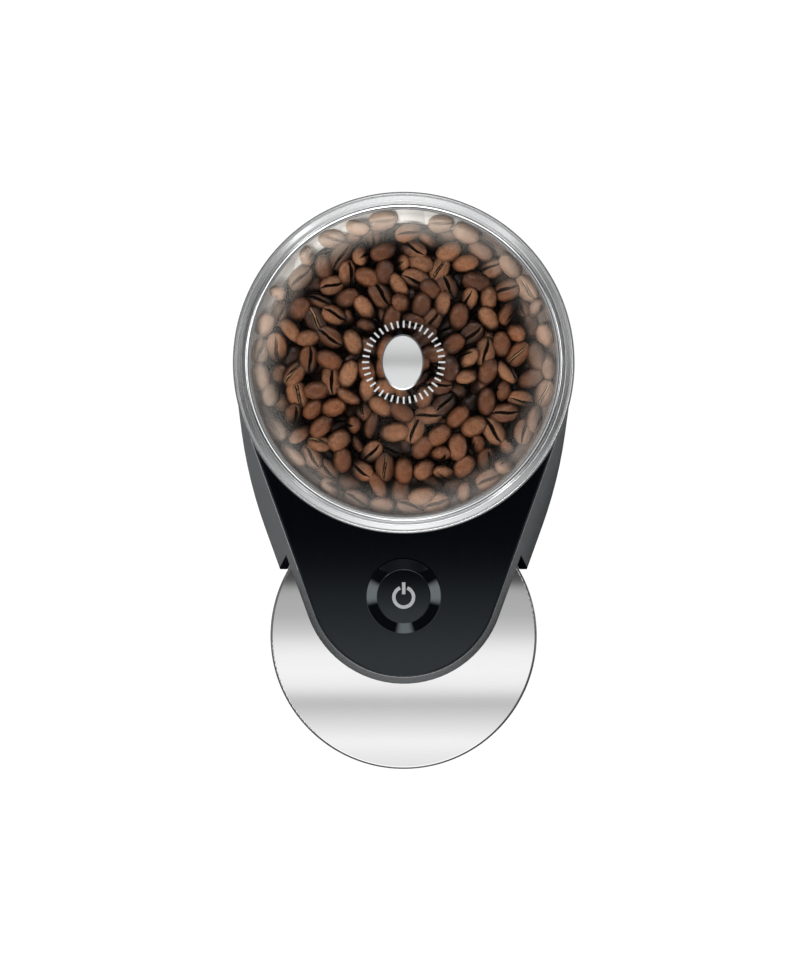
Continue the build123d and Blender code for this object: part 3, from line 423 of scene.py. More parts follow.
# Hopper: the clear funnel that the beans are poured into. It is moulded in glassy
# plastic that lets light straight through and mirrors more of it at a glancing angle.
def glassy(at, tint, dull, straight_on):
    """Clear plastic: a mirror of that tint over light that passes straight through. Its share
    grows with the fifth power of the slant, up to a limit."""
    mirror = at.node("BsdfGlossy", {}, {"Color": tint, "Roughness": dull})
    through = at.node("BsdfTransparent", {}, {"Color": (0.985, 0.988, 0.988, 1.0)})
    edge = straight_on + 0.98 * at.node("LayerWeight", {}, {"Blend": 0.5}, "Facing") ** 5.0
    return at.node("MixShader", {}, {0: edge.maths("MINIMUM", edge, 0.09), 1: through, 2: mirror})


made, at = finish("clear_moulding")
smear = cloud(at, 60.0, 3.0)
dress(made, glassy(at, (1.0, 1.0, 1.0, 1.0), 0.02 + 0.05 * smear, 0.017), "hopper")

# Beans: roasted coffee that fills the funnel in a low heap. Each bean is domed on one
# side and flat on the other, with a crease that may hold pale skin. Those by the wall
# are painted paler, a painted light that is strongest at the rear left. Painted shade
# darkens the beans deeper in the heap, down each bean's sides, and in their creases.
HOPPER_Y = 0.0437
BEAN_L, BEAN_W, BEAN_ROUND, BEAN_FLAT, CREASE = 0.0055, 0.0041, 0.0037, 0.0021, 0.0011
FILL_R, HEAP_EDGE, HEAP_RISE = 0.0575, 0.2120, 0.0055
FUNNEL_TOP_R, FUNNEL_LOW_R, FUNNEL_LOW_Z, FUNNEL_SLOPE = 0.0574, 0.0210, 0.1831, 1.68
UPPER, UPPER_HEADING = 61, 115.0
WALL_BEANS, WALL_R, WALL_Z, WALL_CLEAR = 33, 0.0541, 0.2098, 0.0056
JITTER, SINK = 0.17, 0.0022
ROUNDS, PUSH, BEAN_GAP, BEAN_HALF = 70, 0.24, 0.0078, 0.0044
LEAN, ON_EDGE, ON_DOME = 0.36, 0.16, 0.45
BY_WALL_R, SKIN_R = 0.0485, 0.0576
rng = np.random.default_rng(11)


def heap_top(x, y):
    """Height of the heap's rounded top."""
    return HEAP_EDGE + HEAP_RISE * (1 - (x**2 + y**2) / FILL_R**2)


def layer(pitch, depth, reach):
    """Places on a jittered triangular net, at that depth under the top of the heap."""
    rows = int(reach / pitch) + 2
    net = np.arange(-rows, rows + 1)
    i, j = np.meshgrid(net, net)
    x = pitch * (i + 0.5 * (j % 2)).ravel()
    y = pitch * 0.866 * j.ravel()
    x = x + rng.normal(0, JITTER * pitch, x.size)
    y = y + rng.normal(0, JITTER * pitch, y.size)
    keep = np.hypot(x, y) < reach
    x, y = x[keep], y[keep]
    return np.stack([x, y, heap_top(x, y) - depth - rng.uniform(0, SINK, x.size)], axis=1)


upper_at = np.arange(UPPER)
upper_out = (FILL_R - BEAN_L) * np.sqrt((upper_at + 0.5) / UPPER)
upper_turn = upper_at * np.pi * (3 - np.sqrt(5))
upper_x, upper_y = upper_out * np.cos(upper_turn), upper_out * np.sin(upper_turn)
upper = np.stack([upper_x, upper_y, heap_top(upper_x, upper_y) - BEAN_ROUND], axis=1)
wall_turn = 2 * np.pi * (np.arange(WALL_BEANS) + rng.uniform(-0.15, 0.15, WALL_BEANS)) / WALL_BEANS
wall_z = WALL_Z - rng.uniform(0, 0.0010, WALL_BEANS)
wall_row = np.stack([WALL_R * np.cos(wall_turn), WALL_R * np.sin(wall_turn), wall_z], axis=1)
from_upper = np.linalg.norm(wall_row[:, None] - upper[None], axis=2).min(axis=1)
wall_row = wall_row[from_upper > WALL_CLEAR]
layers = [layer(0.0088, 0.0044, 0.0500), layer(0.0092, 0.0098, 0.0530), layer(0.0094, 0.0140, 0.0500)]
place = np.concatenate([upper, wall_row] + layers)
count = len(place)
free = np.arange(count) >= UPPER + len(wall_row)
for _ in range(ROUNDS):
    apart = place[:, None, :] - place[None, :, :]
    gap = np.linalg.norm(apart, axis=2) + np.eye(count)
    push = np.clip(BEAN_GAP - gap, 0, None) / gap
    np.fill_diagonal(push, 0)
    place += free[:, None] * PUSH * (apart * push[:, :, None]).sum(axis=1)
    spread = np.hypot(place[:, 0], place[:, 1])
    wall = np.minimum(FUNNEL_TOP_R, FUNNEL_LOW_R + FUNNEL_SLOPE * (place[:, 2] - FUNNEL_LOW_Z)) - BEAN_HALF
    place[:, :2] *= np.where(free, np.minimum(1.0, wall / spread), 1.0)[:, None]
    roof = heap_top(place[:, 0], place[:, 1]) - BEAN_ROUND
    place[:, 2] = np.where(free, np.minimum(place[:, 2], roof), place[:, 2])

turn = np.radians([0, 10, 24, 54, 95, 138, 180, 222, 265, 306, 336, 350])
along = np.radians([0, 26, 58, 90, 122, 154, 180])
LAP, RINGS = len(turn), len(along) - 2
girth = np.sin(along)[:, None] ** 0.82
side_z = np.where(np.cos(turn) > 0, BEAN_FLAT, BEAN_ROUND) * np.cos(turn)
crease = np.where(turn == 0, CREASE, 0.0)
bean_x = np.broadcast_to(BEAN_L * np.cos(along)[:, None], (RINGS + 2, LAP))
bean_y = BEAN_W * girth * np.sin(turn)[None, :]
bean_z = girth * (side_z - crease)[None, :]
one_bean = np.stack([bean_x, bean_y, bean_z], axis=-1)
one_bean = np.concatenate([one_bean[0, :1], one_bean[1:-1].reshape(-1, 3), one_bean[-1, :1]])

heading = rng.uniform(0, 2 * np.pi, count)
heading[:UPPER] = upper_turn + upper_at * np.radians(UPPER_HEADING)
by_wall = np.hypot(place[:, 0], place[:, 1]) > BY_WALL_R
along_wall = np.arctan2(place[:, 1], place[:, 0]) + rng.normal(0.5 * np.pi, 0.25, count)
heading = np.where(by_wall, along_wall, heading)
lean = np.abs(rng.normal(0, LEAN, count)) + np.where(rng.uniform(size=count) < ON_EDGE, 1.1, 0.0)
lean += np.where(rng.uniform(size=count) < ON_DOME, 0.0, np.pi)
lean_to = rng.uniform(0, 2 * np.pi, count)
zero, unit = np.zeros(count), np.ones(count)


def about_z(angle):
    """Turning matrices about the upright axis."""
    c, s = np.cos(angle), np.sin(angle)
    return np.stack([c, -s, zero, s, c, zero, zero, zero, unit], axis=1).reshape(-1, 3, 3)


def about_x(angle):
    """Turning matrices about the cross axis."""
    c, s = np.cos(angle), np.sin(angle)
    return np.stack([unit, zero, zero, zero, c, -s, zero, s, c], axis=1).reshape(-1, 3, 3)


flip = np.where(lean > 2.0, 2 * lean_to - heading, heading)
pose = about_z(lean_to) @ about_x(lean) @ about_z(flip - lean_to)
sizes = rng.uniform(0.92, 1.08, (count, 1)) * rng.uniform(0.91, 1.06, (count, 3))
from_hub = np.einsum("kij,kvj->kvi", pose, one_bean[None] * sizes[:, None, :]) + place[:, None, :]
from_hub[..., :2] *= np.minimum(1.0, SKIN_R / np.hypot(from_hub[..., 0], from_hub[..., 1]))[..., None]

ring, column = np.meshgrid(np.arange(RINGS - 1), np.arange(LAP), indexing="ij")
after = (column + 1) % LAP
near, far = 1 + ring * LAP, 1 + (ring + 1) * LAP
quads = np.stack([near + column, far + column, far + after, near + after], axis=-1).reshape(-1, 4)
lap, next_lap = np.arange(LAP), (np.arange(LAP) + 1) % LAP
last_ring, last_point = 1 + (RINGS - 1) * LAP, 1 + RINGS * LAP
first_tip = np.stack([np.zeros(LAP, int), 1 + lap, 1 + next_lap], axis=1)
last_tip = np.stack([np.full(LAP, last_point), last_ring + next_lap, last_ring + lap], axis=1)
start = (np.arange(count) * len(one_bean))[:, None, None]
all_quads = (quads[None] + start).reshape(-1, 4).tolist()
all_tips = (np.concatenate([first_tip, last_tip])[None] + start).reshape(-1, 3).tolist()
beans = shaped("roasted_beans", from_hub + np.array([0.0, HOPPER_Y, 0.0]), all_quads + all_tips)
mesh = beans.data
mesh.polygons.foreach_set("use_smooth", np.ones(len(mesh.polygons), bool))

u_left = np.degrees(turn) / 360.0
u_right = np.append(u_left[1:], 1.0)
u_mid = 0.5 * (u_left + u_right)
quad_u = np.stack([u_left[column], u_left[column], u_right[column], u_right[column]], axis=-1)
quad_v = np.stack([ring + 1, ring + 2, ring + 2, ring + 1], axis=-1) / (RINGS + 1)
quad_uv = np.stack([quad_u, quad_v], axis=-1).reshape(-1, 2)
tip_v = np.broadcast_to(np.array([0.0, 1.0, 1.0]) / (RINGS + 1), (LAP, 3))
first_uv = np.stack([np.stack([u_mid, u_left, u_right], axis=1), tip_v], axis=-1)
last_uv = np.stack([np.stack([u_mid, u_right, u_left], axis=1), 1.0 - tip_v], axis=-1)
tip_uv = np.concatenate([first_uv, last_uv]).reshape(-1, 2)
bean_uv = np.concatenate([np.tile(quad_uv, (count, 1)), np.tile(tip_uv, (count, 1))])
mesh.uv_layers.new(name="round_the_bean").data.foreach_set("uv", bean_uv.ravel())


def store(name, values):
    """Stores a value for each point of the beans, or for each bean, under that name."""
    values = np.broadcast_to(values.reshape(count, -1), (count, len(one_bean)))
    mesh.attributes.new(name, "FLOAT", "POINT").data.foreach_set("value", values.ravel())


store("roast", rng.beta(2.2, 2.2, count))
store("skin_left", rng.uniform(0, 1, count) ** 1.4)
hub_x, hub_y, hub_z = from_hub[..., 0], from_hub[..., 1], from_hub[..., 2]
hub_r = np.hypot(hub_x, hub_y)
# Painted shade: depth under the heap's top, plus depth down each bean's own side and a little more towards
# the middle, darkens the colour.
own_depth = hub_z.max(axis=1, keepdims=True) - hub_z
middle = np.clip(1.0 - hub_r / 0.045, 0.0, 1.0)
store("sunk", heap_top(hub_x, hub_y) - hub_z + 1.25 * own_depth + 0.0014 * middle)
# Painted rim light: the beans by the wall are painted paler, most at the rear left.
rim_light_side = 0.52 + 0.20 * np.cos(np.arctan2(hub_y, hub_x) - np.radians(125))
store("dusted", rim_light_side * np.clip((hub_r - 0.0465) / 0.0090, 0, 1))
store("ruddy", rng.beta(1.0, 2.2, count))
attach(beans, "hopper")
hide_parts("bean_fill")


def stored(at, name):
    """The value that the mesh stores under that name."""
    return at.node("Attribute", {"attribute_name": name}, {}, "Fac")


made, at = finish("roasted_bean_skin")
dust_and_painted_rim_light = stored(at, "dusted")
lap_at = at.node("UVMap", {"uv_map": "round_the_bean"}, {})
round_u, round_v = coordinate(lap_at, 0), coordinate(lap_at, 1)
mottle = cloud(at, 420.0, 4.0)
wrinkle = cloud(at, 1500.0, 3.0)
bend = 0.026 * round_v.maths("SINE", 2 * math.pi * round_v)
gape = 0.017 * round_v.maths("SINE", math.pi * round_v)
side = round_u.maths("FRACT", round_u + 0.5 + bend) - 0.5
off_line = side.maths("ABSOLUTE", side) + 0.03 * (mottle - 0.5)
ends_off = step(round_v, 0.05, 0.14) * (1.0 - step(round_v, 0.86, 0.95))
in_crease = (1.0 - step(off_line - gape, 0.003, 0.015)) * ends_off
heart = (1.0 - step(off_line, 0.005, 0.013)) * ends_off
lips = (1.0 - step(off_line, 0.030, 0.070)) * ends_off
roast_stops = [
    (0.0, (0.028, 0.010, 0.005, 1.0)),
    (0.45, (0.148, 0.053, 0.023, 1.0)),
    (1.0, (0.40, 0.185, 0.092, 1.0)),
]
roasted = step(0.62 * stored(at, "roast") + 0.38 * mottle, 0.16, 0.84)
tone = at.node("ValToRGB", {"stops": roast_stops}, {"Fac": roasted})
tone = between(0.75 * stored(at, "ruddy"), tone, (0.270, 0.092, 0.034, 1.0))
tone = between(0.45 * step(wrinkle, 0.46, 0.70), tone, (0.026, 0.010, 0.006, 1.0))
tone = between(0.35 * lips * wrinkle, tone, (0.34, 0.21, 0.13, 1.0))
chaff = heart * step(stored(at, "skin_left") + 0.8 * (wrinkle - 0.5), 0.5, 0.75)
tone = between(chaff, tone, (0.48, 0.29, 0.14, 1.0))
# Painted rim light: the beans by the wall are mixed towards a pale tone.
tone = between(dust_and_painted_rim_light * (0.7 + 0.6 * mottle), tone, (0.76, 0.56, 0.42, 1.0))
# Painted shade: darker with that depth, and less so for the paler beans by the wall.
shadow = 0.96 * step(stored(at, "sunk"), 0.0008, 0.0074) * (1.0 - 1.4 * dust_and_painted_rim_light)
tone = between(shadow, tone, (0.003, 0.0015, 0.001, 1.0))
bean = {"Base Color": tone, "Roughness": 0.22 + 0.24 * wrinkle}
bean["Normal"] = relief(0.4 * wrinkle + 0.6 * mottle, 0.00042)
bean["Specular IOR Level"] = 0.45
skin = at.node("BsdfPrincipled", {}, bean)
# Painted shade in the crease: a near-black matt colour.
painted_crease_shade = at.node("BsdfDiffuse", {}, {"Color": (0.006, 0.003, 0.002, 1.0)})
cleft = in_crease * (1.0 - chaff) * (1.0 - dust_and_painted_rim_light)
dress(made, at.node("MixShader", {}, {0: cleft, 1: skin, 2: painted_crease_shade}), beans)

# Bean bed: the imported beans below those that show, as one bumpy mass that fills the
# funnel, so that no light comes up between them. It is painted near black, a painted shade
# for the deep gaps. Along the wall lies a ledge painted cream, a painted light for the glow
# by the clear wall, palest at the rear left.
BED_TURNS, BED_DEPTH, FOOT_ROWS, FOOT_Z = 72, 0.0120, 12, 0.1985
REAR_LEFT = (-0.574, 0.819, 0.0)
bed_turn = np.linspace(0, 2 * np.pi, BED_TURNS + 1)[None, :-1]
bed_r = np.linspace(0.0002, 0.0510, 24)[:, None]
bed_z = heap_top(bed_r, 0.0) - BED_DEPTH + 0.0009 * np.sin(bed_r * 900) * np.sin(9 * bed_turn)
painted_light_ledge_r = np.array([0.0528, 0.0540, 0.0556, 0.0577, 0.0577])[:, None]
painted_light_ledge_z = np.array([0.2070, 0.2086, 0.2092, 0.2096, 0.2056])[:, None] + 0 * bed_turn
foot_r = np.linspace(0.0440, 0.0002, FOOT_ROWS)[:, None]
foot_z = np.full((FOOT_ROWS, BED_TURNS), FOOT_Z)
bed_rows = np.concatenate([bed_r, painted_light_ledge_r, foot_r])
bed_heights = np.concatenate([bed_z, painted_light_ledge_z, foot_z])
bed_places = [bed_rows * np.cos(bed_turn), HOPPER_Y + bed_rows * np.sin(bed_turn), bed_heights]
bed = surface("bean_bed", np.stack(bed_places, axis=-1), columns_meet=True, ends=True)


def about_axis(at, y):
    """Coordinates taken from the upright axis at that y, and the distance out from it."""
    centre = vector("SUBTRACT", at, (0.0, y, 0.0))
    return centre, vector("LENGTH", vector("MULTIPLY", centre, (1.0, 1.0, 0.0)), out="Value")


made, at = finish("packed_bean_mass")
lump = cells(at, 120.0)
ledge_mottle = cloud(at, 900.0, 3.0)
centre, radius = about_axis(at, HOPPER_Y)
# Painted shade: the mass is near black.
tone = between(step(lump, 0.1, 0.6), (0.012, 0.006, 0.004, 1.0), (0.003, 0.0015, 0.001, 1.0))
# Painted light: the ledge by the wall is cream, palest at the rear left.
drift = vector("DOT_PRODUCT", centre, REAR_LEFT, "Value") / radius
painted_light_cream = between(ledge_mottle, (0.90, 0.87, 0.80, 1.0), (1.0, 0.98, 0.94, 1.0))
cream = between(step(drift, 0.30, 0.85), (0.17, 0.125, 0.098, 1.0), painted_light_cream)
tone = between(step(radius, 0.0524, 0.0530), tone, cream)
mass = {"Base Color": tone, "Roughness": 0.55 + 0.2 * lump, "Normal": relief(1.0 - lump, 0.003)}
dress(made, at.node("BsdfPrincipled", {}, mass), bed)
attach(bed, "hopper")

# Hopper ring and lid rim: turned from bright metal, with a bead, a groove, a sloped band
# and an inner cove. The tool has left hair-fine lines under the polish. The ring's upright
# side is left satin. The groove is painted darker away from the rear, a painted shade, and
# the outer edge of its bead is painted dark, a painted shade line.
ROUND = np.linspace(0, 2 * np.pi, 361)[None, :-1]


def lathed(name, section):
    """A ring round the hopper axis: a closed section, radius and height in mm, which runs
    counterclockwise, is carried round."""
    r, z = np.array(section).T[:, :, None] / 1000
    x, y = r * np.cos(ROUND), HOPPER_Y + r * np.sin(ROUND)
    points = np.stack([x, y, np.broadcast_to(z, x.shape)], axis=-1)
    shown = surface(name, points, columns_meet=True, rows_meet=True)
    shown.data.polygons.foreach_set("use_smooth", np.ones(len(shown.data.polygons), bool))
    shown.data.set_sharp_from_angle(angle=math.radians(24.0))
    return shown


def arc(r0, z0, radius, first, last, count):
    """Points of an arc in the section: its centre, its radius, and its first and last angle
    up from the outward way, in degrees."""
    angle = np.radians(np.linspace(first, last, count))
    return list(zip(r0 + radius * np.cos(angle), z0 + radius * np.sin(angle)))


bead = arc(63.475, 216.25, 0.525, 0, 180, 13)
cove = [(60.9, 217.48), (60.78, 217.44), (60.6, 217.34), (60.2, 217.105)]
cove += [(59.8, 216.87), (59.5, 216.7), (59.45, 216.62)]
ring_section = [(62.8, 206.6), (64.0, 206.6)] + bead + [(62.95, 215.9), (62.5, 215.9), (62.5, 216.56)]
ring_section += cove + [(59.45, 214.8), (59.75, 214.6), (59.75, 208.1), (62.8, 208.1)]
rim_section = [(58.02, 216.2), (59.3, 216.2), (59.3, 217.0), (59.22, 217.08)]
rim_section += [(58.2, 217.53), (58.1, 217.53), (58.02, 217.35)]
turned_ring = lathed("turned_hopper_ring", ring_section)
turned_rim = lathed("turned_lid_rim", rim_section)
made, at = finish("turned_bright_metal")
centre, radius = about_axis(at, HOPPER_Y)
hair = radius.node("TexNoise", {"noise_dimensions": "1D"}, {"W": radius, "Scale": 9000.0, "Detail": 2.0})
handling = cloud(at, 45.0, 3.0)
tone = between(0.6 * hair + 0.4 * handling, (0.76, 0.77, 0.78, 1.0), (0.90, 0.905, 0.91, 1.0))
# Painted shade: the groove is darker except on its rear side.
off_rear = 1.0 - step(coordinate(centre, 1) / radius, 0.3, 0.9)
groove = step(radius, 0.0596, 0.0600) * (1.0 - step(radius, 0.0608, 0.0612))
tone = between(0.6 * groove * off_rear, tone, (0.20, 0.20, 0.21, 1.0))
on_bead = step(coordinate(centre, 2), 0.2157, 0.2161)
satin = step(radius, 0.06380, 0.06395) * (1.0 - on_bead)
tone = between(0.75 * satin, tone, (0.16, 0.16, 0.165, 1.0))
dull = 0.11 + 0.05 * hair + 0.04 * handling + 0.34 * satin
polish = at.node("BsdfPrincipled", {}, {"Base Color": tone, "Metallic": 1.0, "Roughness": dull})
# Painted shade line along the outer edge of the bead.
painted_edge_shade = at.node("BsdfDiffuse", {}, {"Color": (0.03, 0.03, 0.033, 1.0)})
outer_edge = 0.85 * step(radius, 0.06350, 0.06372) * on_bead
dress(made, at.node("MixShader", {}, {0: outer_edge, 1: polish, 2: painted_edge_shade}), turned_ring, turned_rim)
for shown, body, piece in ((turned_ring, "hopper", "hopper_ring"), (turned_rim, "hopper_lid", "lid_rim")):
    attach(shown, body)
    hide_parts(piece)

# Lid seal and container seal: rings moulded in clear silicone, milky and a little dusty,
# pressed between the lid and the rim that it closes.
made, at = finish("milky_silicone")
dust_and_painted_rim_light = step(cloud(at, 260.0, 4.0), 0.45, 0.75)
haze = cloud(at, 40.0, 3.0)
tone = between(haze, (0.58, 0.60, 0.61, 1.0), (0.74, 0.75, 0.76, 1.0))
soft = {"Base Color": between(0.3 * dust_and_painted_rim_light, tone, (0.45, 0.42, 0.38, 1.0)), "Roughness": 0.38 + 0.3 * dust_and_painted_rim_light}
soft["Normal"] = relief(dust_and_painted_rim_light, 0.00003)
soft["Subsurface Weight"] = 0.2
soft["Subsurface Radius"] = (0.003, 0.003, 0.003)
dress(made, at.node("BsdfPrincipled", {}, soft), "lid_seal", "container_seal")

# Lid dome: one clear moulding, a low crown that runs into a tight shoulder and a flange.
# It is glassy, with a painted milky haze towards the rim for reflected light, and its thick edge painted
# white as a glow.
CROWN_Z, CROWN_R, DOME_WALL = 98.2475, 135.0, 2.0
SHOULDER_AT, SHOULDER_R, MEET = (54.0, 217.6), 4.0, 65.66
crown_out = arc(0.0, CROWN_Z, CROWN_R, MEET, 89.999, 40)
crown_in = arc(0.0, CROWN_Z, CROWN_R - DOME_WALL, 89.999, MEET, 40)
dome_outer = arc(*SHOULDER_AT, SHOULDER_R, 0, MEET, 9) + crown_out[1:]
dome_inner = crown_in + arc(*SHOULDER_AT, SHOULDER_R - DOME_WALL, MEET, 0, 9)[1:]
flange = [(56.0, 214.9), (59.3, 214.9), (59.3, 216.2), (58.0, 216.2)]
dome = lathed("clear_lid_dome", flange + dome_outer + dome_inner)
made, at = finish("clear_dome")
smear = cloud(at, 38.0, 3.0)
_, radius = about_axis(at, HOPPER_Y)
straight_on = 0.004 + 0.014 * step(radius, 0.0400, 0.0470)
glass = glassy(at, (1.0, 0.91, 0.82, 1.0), 0.03 + 0.06 * smear, straight_on)
# Painted haze and glow: a white matt share towards the rim, and more on the thick edge.
painted_haze_white = at.node("BsdfDiffuse", {}, {"Color": (0.84, 0.84, 0.84, 1.0)})
milky = (0.015 + 0.03 * smear) * step(radius, 0.0465, 0.0565) + 0.14 * step(radius, 0.0566, 0.0578)
dress(made, at.node("MixShader", {}, {0: milky, 1: glass, 2: painted_haze_white}), dome)
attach(dome, "hopper_lid")
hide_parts("lid_dome")

# Lid badge: a plain oval plate of polished metal under the crown of the dome, with a
# ring of small plain bars printed round it.
UNDER_CROWN_R, UNDER_CROWN_Z = 0.133, 0.23125
PLATE_X, PLATE_HALF_X, PLATE_HALF_Y, PLATE_Z = -0.0004, 0.0078, 0.0104, UNDER_CROWN_Z - 0.00045
BARS, BAR_R, BAR_L, BAR_W, BAR_INK = 40, 0.0142, 0.0026, 0.0007, 0.00008
plate_turn = np.linspace(0, 2 * np.pi, 97)[None, :-1]
plate_out = np.array([0.001, 0.35, 0.7, 0.94, 1.0, 1.0, 0.7, 0.35, 0.001])[:, None]
plate_drop = np.array([0.0, 0.0, 0.0, 0.0, 0.06, 0.22, 0.25, 0.25, 0.25])[:, None] / 1000
plate_x = PLATE_X + PLATE_HALF_X * plate_out * np.cos(plate_turn)
plate_y = HOPPER_Y + PLATE_HALF_Y * plate_out * np.sin(plate_turn)
plate_z = np.broadcast_to(PLATE_Z - plate_drop, plate_x.shape)
plate = surface("lid_badge", np.stack([plate_x, plate_y, plate_z], axis=-1), columns_meet=True, ends=True)
bar_turn = np.linspace(0, 2 * np.pi, BARS + 1)[:-1, None]
corner_r = BAR_R + 0.5 * BAR_L * np.array([[-1.0, 1.0, 1.0, -1.0]])
corner_s = 0.5 * BAR_W * np.array([[-1.0, -1.0, 1.0, 1.0]])
bar_x = corner_r * np.cos(bar_turn) - corner_s * np.sin(bar_turn)
bar_y = corner_r * np.sin(bar_turn) + corner_s * np.cos(bar_turn)
bar_z = UNDER_CROWN_Z - (bar_x**2 + bar_y**2) / (2 * UNDER_CROWN_R)
bar_tops = np.stack([bar_x, HOPPER_Y + bar_y, bar_z - 0.00004], axis=-1)
bar_points = np.concatenate([bar_tops - np.array([0.0, 0.0, BAR_INK]), bar_tops], axis=1)
one_bar = np.array([[3, 2, 1, 0], [4, 5, 6, 7], [0, 1, 5, 4], [1, 2, 6, 5], [2, 3, 7, 6], [3, 0, 4, 7]])
bar_faces = (one_bar[None] + 8 * np.arange(BARS)[:, None, None]).reshape(-1, 4)
bars = shaped("lid_badge_bars", bar_points, bar_faces.tolist())
made, at = finish("badge_metal")
brushed = lines(at, 400.0, 9000.0, 400.0, 2.0)
tone = between(brushed, (0.82, 0.82, 0.83, 1.0), (0.93, 0.93, 0.93, 1.0))
shiny = {"Base Color": tone, "Metallic": 1.0, "Roughness": 0.012 + 0.008 * brushed}
dress(made, at.node("BsdfPrincipled", {}, shiny), plate)
dress(*printed("silver_ink", 3600.0, (0.60, 0.61, 0.62, 1.0), (0.76, 0.77, 0.77, 1.0), 0.34), bars)
for shown in (plate, bars):
    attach(shown, "hopper_lid")

# Container: a cup spun and drawn from stainless sheet and mirror polished, with faint
# lines round it from the polishing wheel and a few finger smears.
made, at = finish("polished_cup_steel")
wheel = lines(at, 60.0, 60.0, 2600.0, 3.0)
smear = cloud(at, 55.0, 3.0)
tone = between(0.5 * wheel + 0.5 * smear, (0.60, 0.60, 0.60, 1.0), (0.76, 0.76, 0.755, 1.0))
cup = {"Base Color": tone, "Metallic": 1.0, "Roughness": 0.09 + 0.10 * wheel + 0.06 * smear}
cup["Normal"] = relief(wheel, 0.000004)
dress(made, at.node("BsdfPrincipled", {}, cup), "container")

# Container lid: a flat pressed steel lid with a hole for the spout, polished to a clear
# mirror, so its gloss only dulls where it has been touched and on its dark rolled edge.
CONTAINER_Y = HOPPER_Y - 0.104
made, at = finish("polished_lid_steel")
touch = step(cloud(at, 75.0, 4.0), 0.5, 0.8)
fine = lines(at, 160.0, 5200.0, 160.0, 2.0)
tone = between(fine, (0.86, 0.86, 0.86, 1.0), (0.93, 0.93, 0.93, 1.0))
_, radius = about_axis(at, CONTAINER_Y)
rolled = step(radius, 0.05066, 0.05082) * step(coordinate(at, 2), 0.1236, 0.1246)
tone = between(0.92 * rolled, tone, (0.05, 0.05, 0.055, 1.0))
dull = 0.010 + 0.006 * touch + 0.003 * fine + 0.15 * rolled
lid = {"Base Color": tone, "Metallic": 1.0, "Roughness": dull}
dress(made, at.node("BsdfPrincipled", {}, lid), "container_lid")

# Floor: a wide matt white sheet. It shows as plain white with a faint shadow where the
# object stands, and its white is painted dark under the middle, a painted shadow, so no
# white shows through its openings.
FLOOR_HALF, FLOOR_Z = 6, -0.0002
floor_at = np.linspace(-FLOOR_HALF, FLOOR_HALF, 3)
floor_x, floor_y = np.meshgrid(floor_at, floor_at)
floor = surface("floor", np.stack([floor_x, floor_y, np.full((3, 3), FLOOR_Z)], axis=-1))
made, at = finish("white_floor")
seen = at.node("LightPath", {}, {}, "Is Camera Ray")
passed = at.node("LightPath", {}, {}, "Is Transmission Ray")
paper = at.node("BsdfDiffuse", {}, {"Color": (0.86, 0.86, 0.86, 1.0)})
_, radius = about_axis(at, HOPPER_Y)
# Painted shadow: the white is darkened under the middle.
shade = between(step(radius, 0.050, 0.058), (0.01, 0.01, 0.01, 1.0), (1.0, 1.0, 1.0, 1.0))
white = at.node("Emission", {}, {"Color": shade, "Strength": 1.10})
share = 0.90 * step(seen + passed, 0.0, 1.0)
dress(made, at.node("MixShader", {}, {0: share, 1: paper, 2: white}), floor)

# Studio: a white room for soft light. Mirrors and glass see a dim ceiling with strips of
# light round the camera and a bright patch ahead of them, pale upper walls with lights on
# them, lower walls that are bright fore and aft, and a dark skirting with a few lights.
world = bpy.data.worlds.new("studio")
bpy.context.scene.world = world
world.use_nodes = True
world.node_tree.nodes.clear()
look = Wire(world.node_tree, None).node("TexCoord", {}, {}, "Generated")
look_y, look_z = coordinate(look, 1), coordinate(look, 2)


def toward(azimuth, off_zenith):
    """The way to a point of the room: its angle round from the right, and its angle from
    straight up, in degrees."""
    a, t = math.radians(azimuth), math.radians(off_zenith)
    return math.sin(t) * math.cos(a), math.sin(t) * math.sin(a), math.cos(t)


def glow(azimuth, off_zenith, core, rim):
    """A soft round patch of light that way: full within the core angle and none past the rim
    angle, in degrees."""
    facing = vector("DOT_PRODUCT", look, toward(azimuth, off_zenith), "Value")
    return step(facing, math.cos(math.radians(rim)), math.cos(math.radians(core)))


strip_levels = [
    (0.138, 0.84), (0.150, 0.88), (0.174, 1.00), (0.190, 0.85), (0.203, 0.72), (0.220, 0.55),
    (0.228, 0.62), (0.236, 0.82), (0.245, 0.95), (0.260, 1.00), (0.282, 0.97), (0.295, 0.86),
    (0.311, 0.63), (0.332, 0.47), (0.362, 0.43), (0.374, 0.09), (0.395, 0.055), (0.430, 0.012),
    (0.560, 0.012), (0.610, 0.90), (0.638, 0.84), (0.648, 0.45), (0.660, 0.72), (0.690, 0.95),
]
strip_stops = [(place, (level, level, level, 1.0)) for place, level in strip_levels]
strips = look.node("ValToRGB", {"stops": strip_stops}, {"Fac": 0.5 + look_y / look_z * 10.0})
strip_light = strips.node("SeparateColor", {}, {"Color": strips}, 0)
window = step(look_z, 0.9975, 0.9988)
fore_aft = (look_y * look_y / (1.0 - look_z * look_z)) ** 1.25
below_upper = 1.0 - step(look_z, 0.60, 0.635)
below_lower = 1.0 - step(look_z, 0.395, 0.425)
below_skirting = 1.0 - step(look_z, 0.20, 0.26)
ceiling = window * strip_light + (1.0 - window) * (0.16 + 1.3 * glow(270.0, 17.0, 7.0, 15.0))
wall_lights = 4.5 * glow(95.0, 50.0, 8.0, 30.0) + 2.0 * glow(160.0, 50.0, 6.0, 26.0)
wall_lights = wall_lights + 0.8 * glow(270.0, 47.0, 6.0, 20.0) + 1.0 * glow(215.0, 48.0, 6.0, 26.0)
upper_walls = (1.0 - step(look_z, 0.685, 0.770)) * (0.95 + wall_lights)
lower_walls = 0.06 + 1.0 * fore_aft + 7.0 * glow(128.0, 53.5, 3.0, 7.0) + 3.0 * glow(52.0, 53.5, 3.0, 7.0)
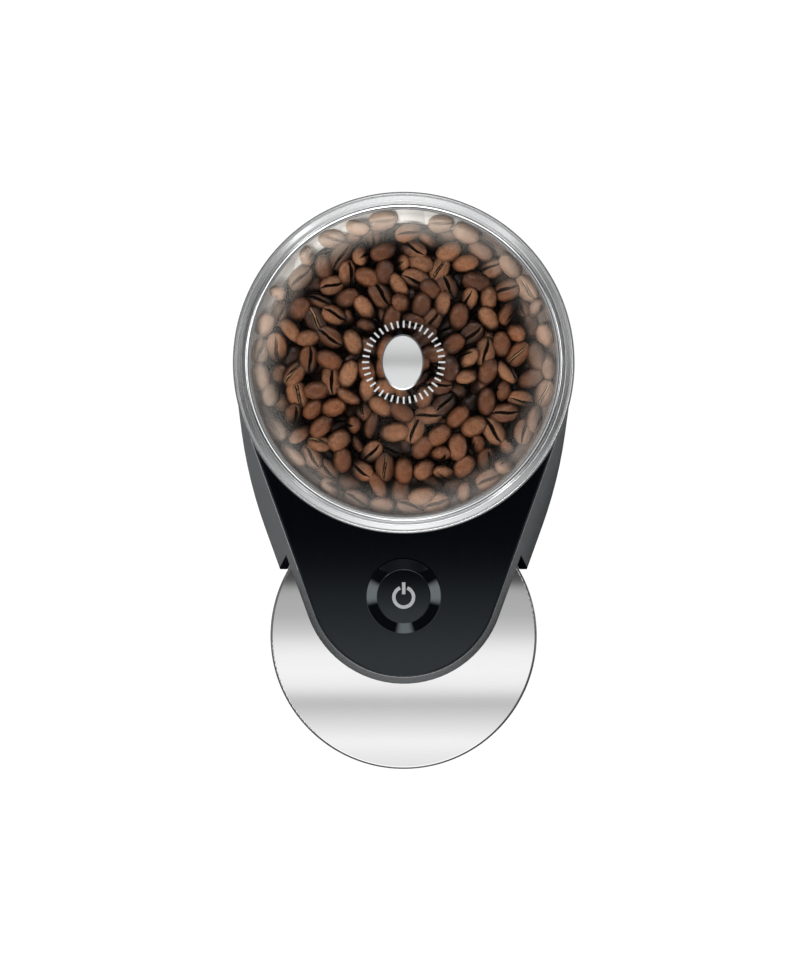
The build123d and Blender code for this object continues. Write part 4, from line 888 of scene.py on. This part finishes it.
side_glows = glow(174.0, 69.4, 6.0, 22.0) + glow(6.0, 69.4, 6.0, 22.0)
skirting = 0.05 + 3.5 * side_glows + 3.0 * glow(272.0, 69.4, 2.0, 16.0)
mirror_view = (1.0 - below_upper) * (ceiling + upper_walls) + below_upper * (1.0 - below_lower) * lower_walls
mirror_view = mirror_view + below_lower * (1.0 - below_skirting) * skirting + 0.7 * below_skirting
seen = look.node("LightPath", {}, {}, "Is Camera Ray")
mirrored = look.node("LightPath", {}, {}, "Is Glossy Ray")
room = seen + (1.0 - seen) * (mirrored * mirror_view + (1.0 - mirrored) * 0.34 * look_z * look_z)
light = look.node("Background", {}, {"Color": (1.0, 1.0, 1.0, 1.0), "Strength": room})
light.node("OutputWorld", {}, {"Surface": light})

# Lamps: three large softboxes, a key at the front left, one at the rear and a low one on
# the right. Mirrors see the studio's own patches of light in their place.
AIM, AWAY = Vector((0.0, HOPPER_Y, 0.215)), 1.7


def softbox(name, azimuth, off_zenith, size, level):
    """A soft lamp on a sphere round the hopper, with that level of light on its face."""
    made = bpy.data.lights.new(name, "AREA")
    made.shape = "RECTANGLE"
    made.size, made.size_y = size
    made.energy = level * math.pi * size[0] * size[1]
    held = bpy.data.objects.new(name, made)
    held.location = AIM + AWAY * Vector(toward(azimuth, off_zenith))
    held.rotation_euler = (AIM - held.location).to_track_quat("-Z", "Y").to_euler()
    held.visible_glossy = False
    held.visible_camera = False
    bpy.context.scene.collection.objects.link(held)


softbox("rear_softbox", 90.0, 44.0, (1.2, 0.5), 1.8)
softbox("front_softbox", 222.0, 42.0, (0.9, 0.5), 19.5)
softbox("right_softbox", 355.0, 78.0, (0.9, 0.5), 9.5)

# Camera: straight above, three metres over the ring, with a long lens, so that the upright
# walls hardly show.
lens = bpy.data.cameras.new("camera")
lens.lens = 300.6
lens.sensor_width = 36.0
lens.clip_end = 20.0
camera = bpy.data.objects.new("camera", lens)
camera.location = (-0.00139, -0.0002, 3.2175)
bpy.context.scene.collection.objects.link(camera)
bpy.context.scene.camera = camera
bpy.context.scene.view_settings.view_transform = "Standard"
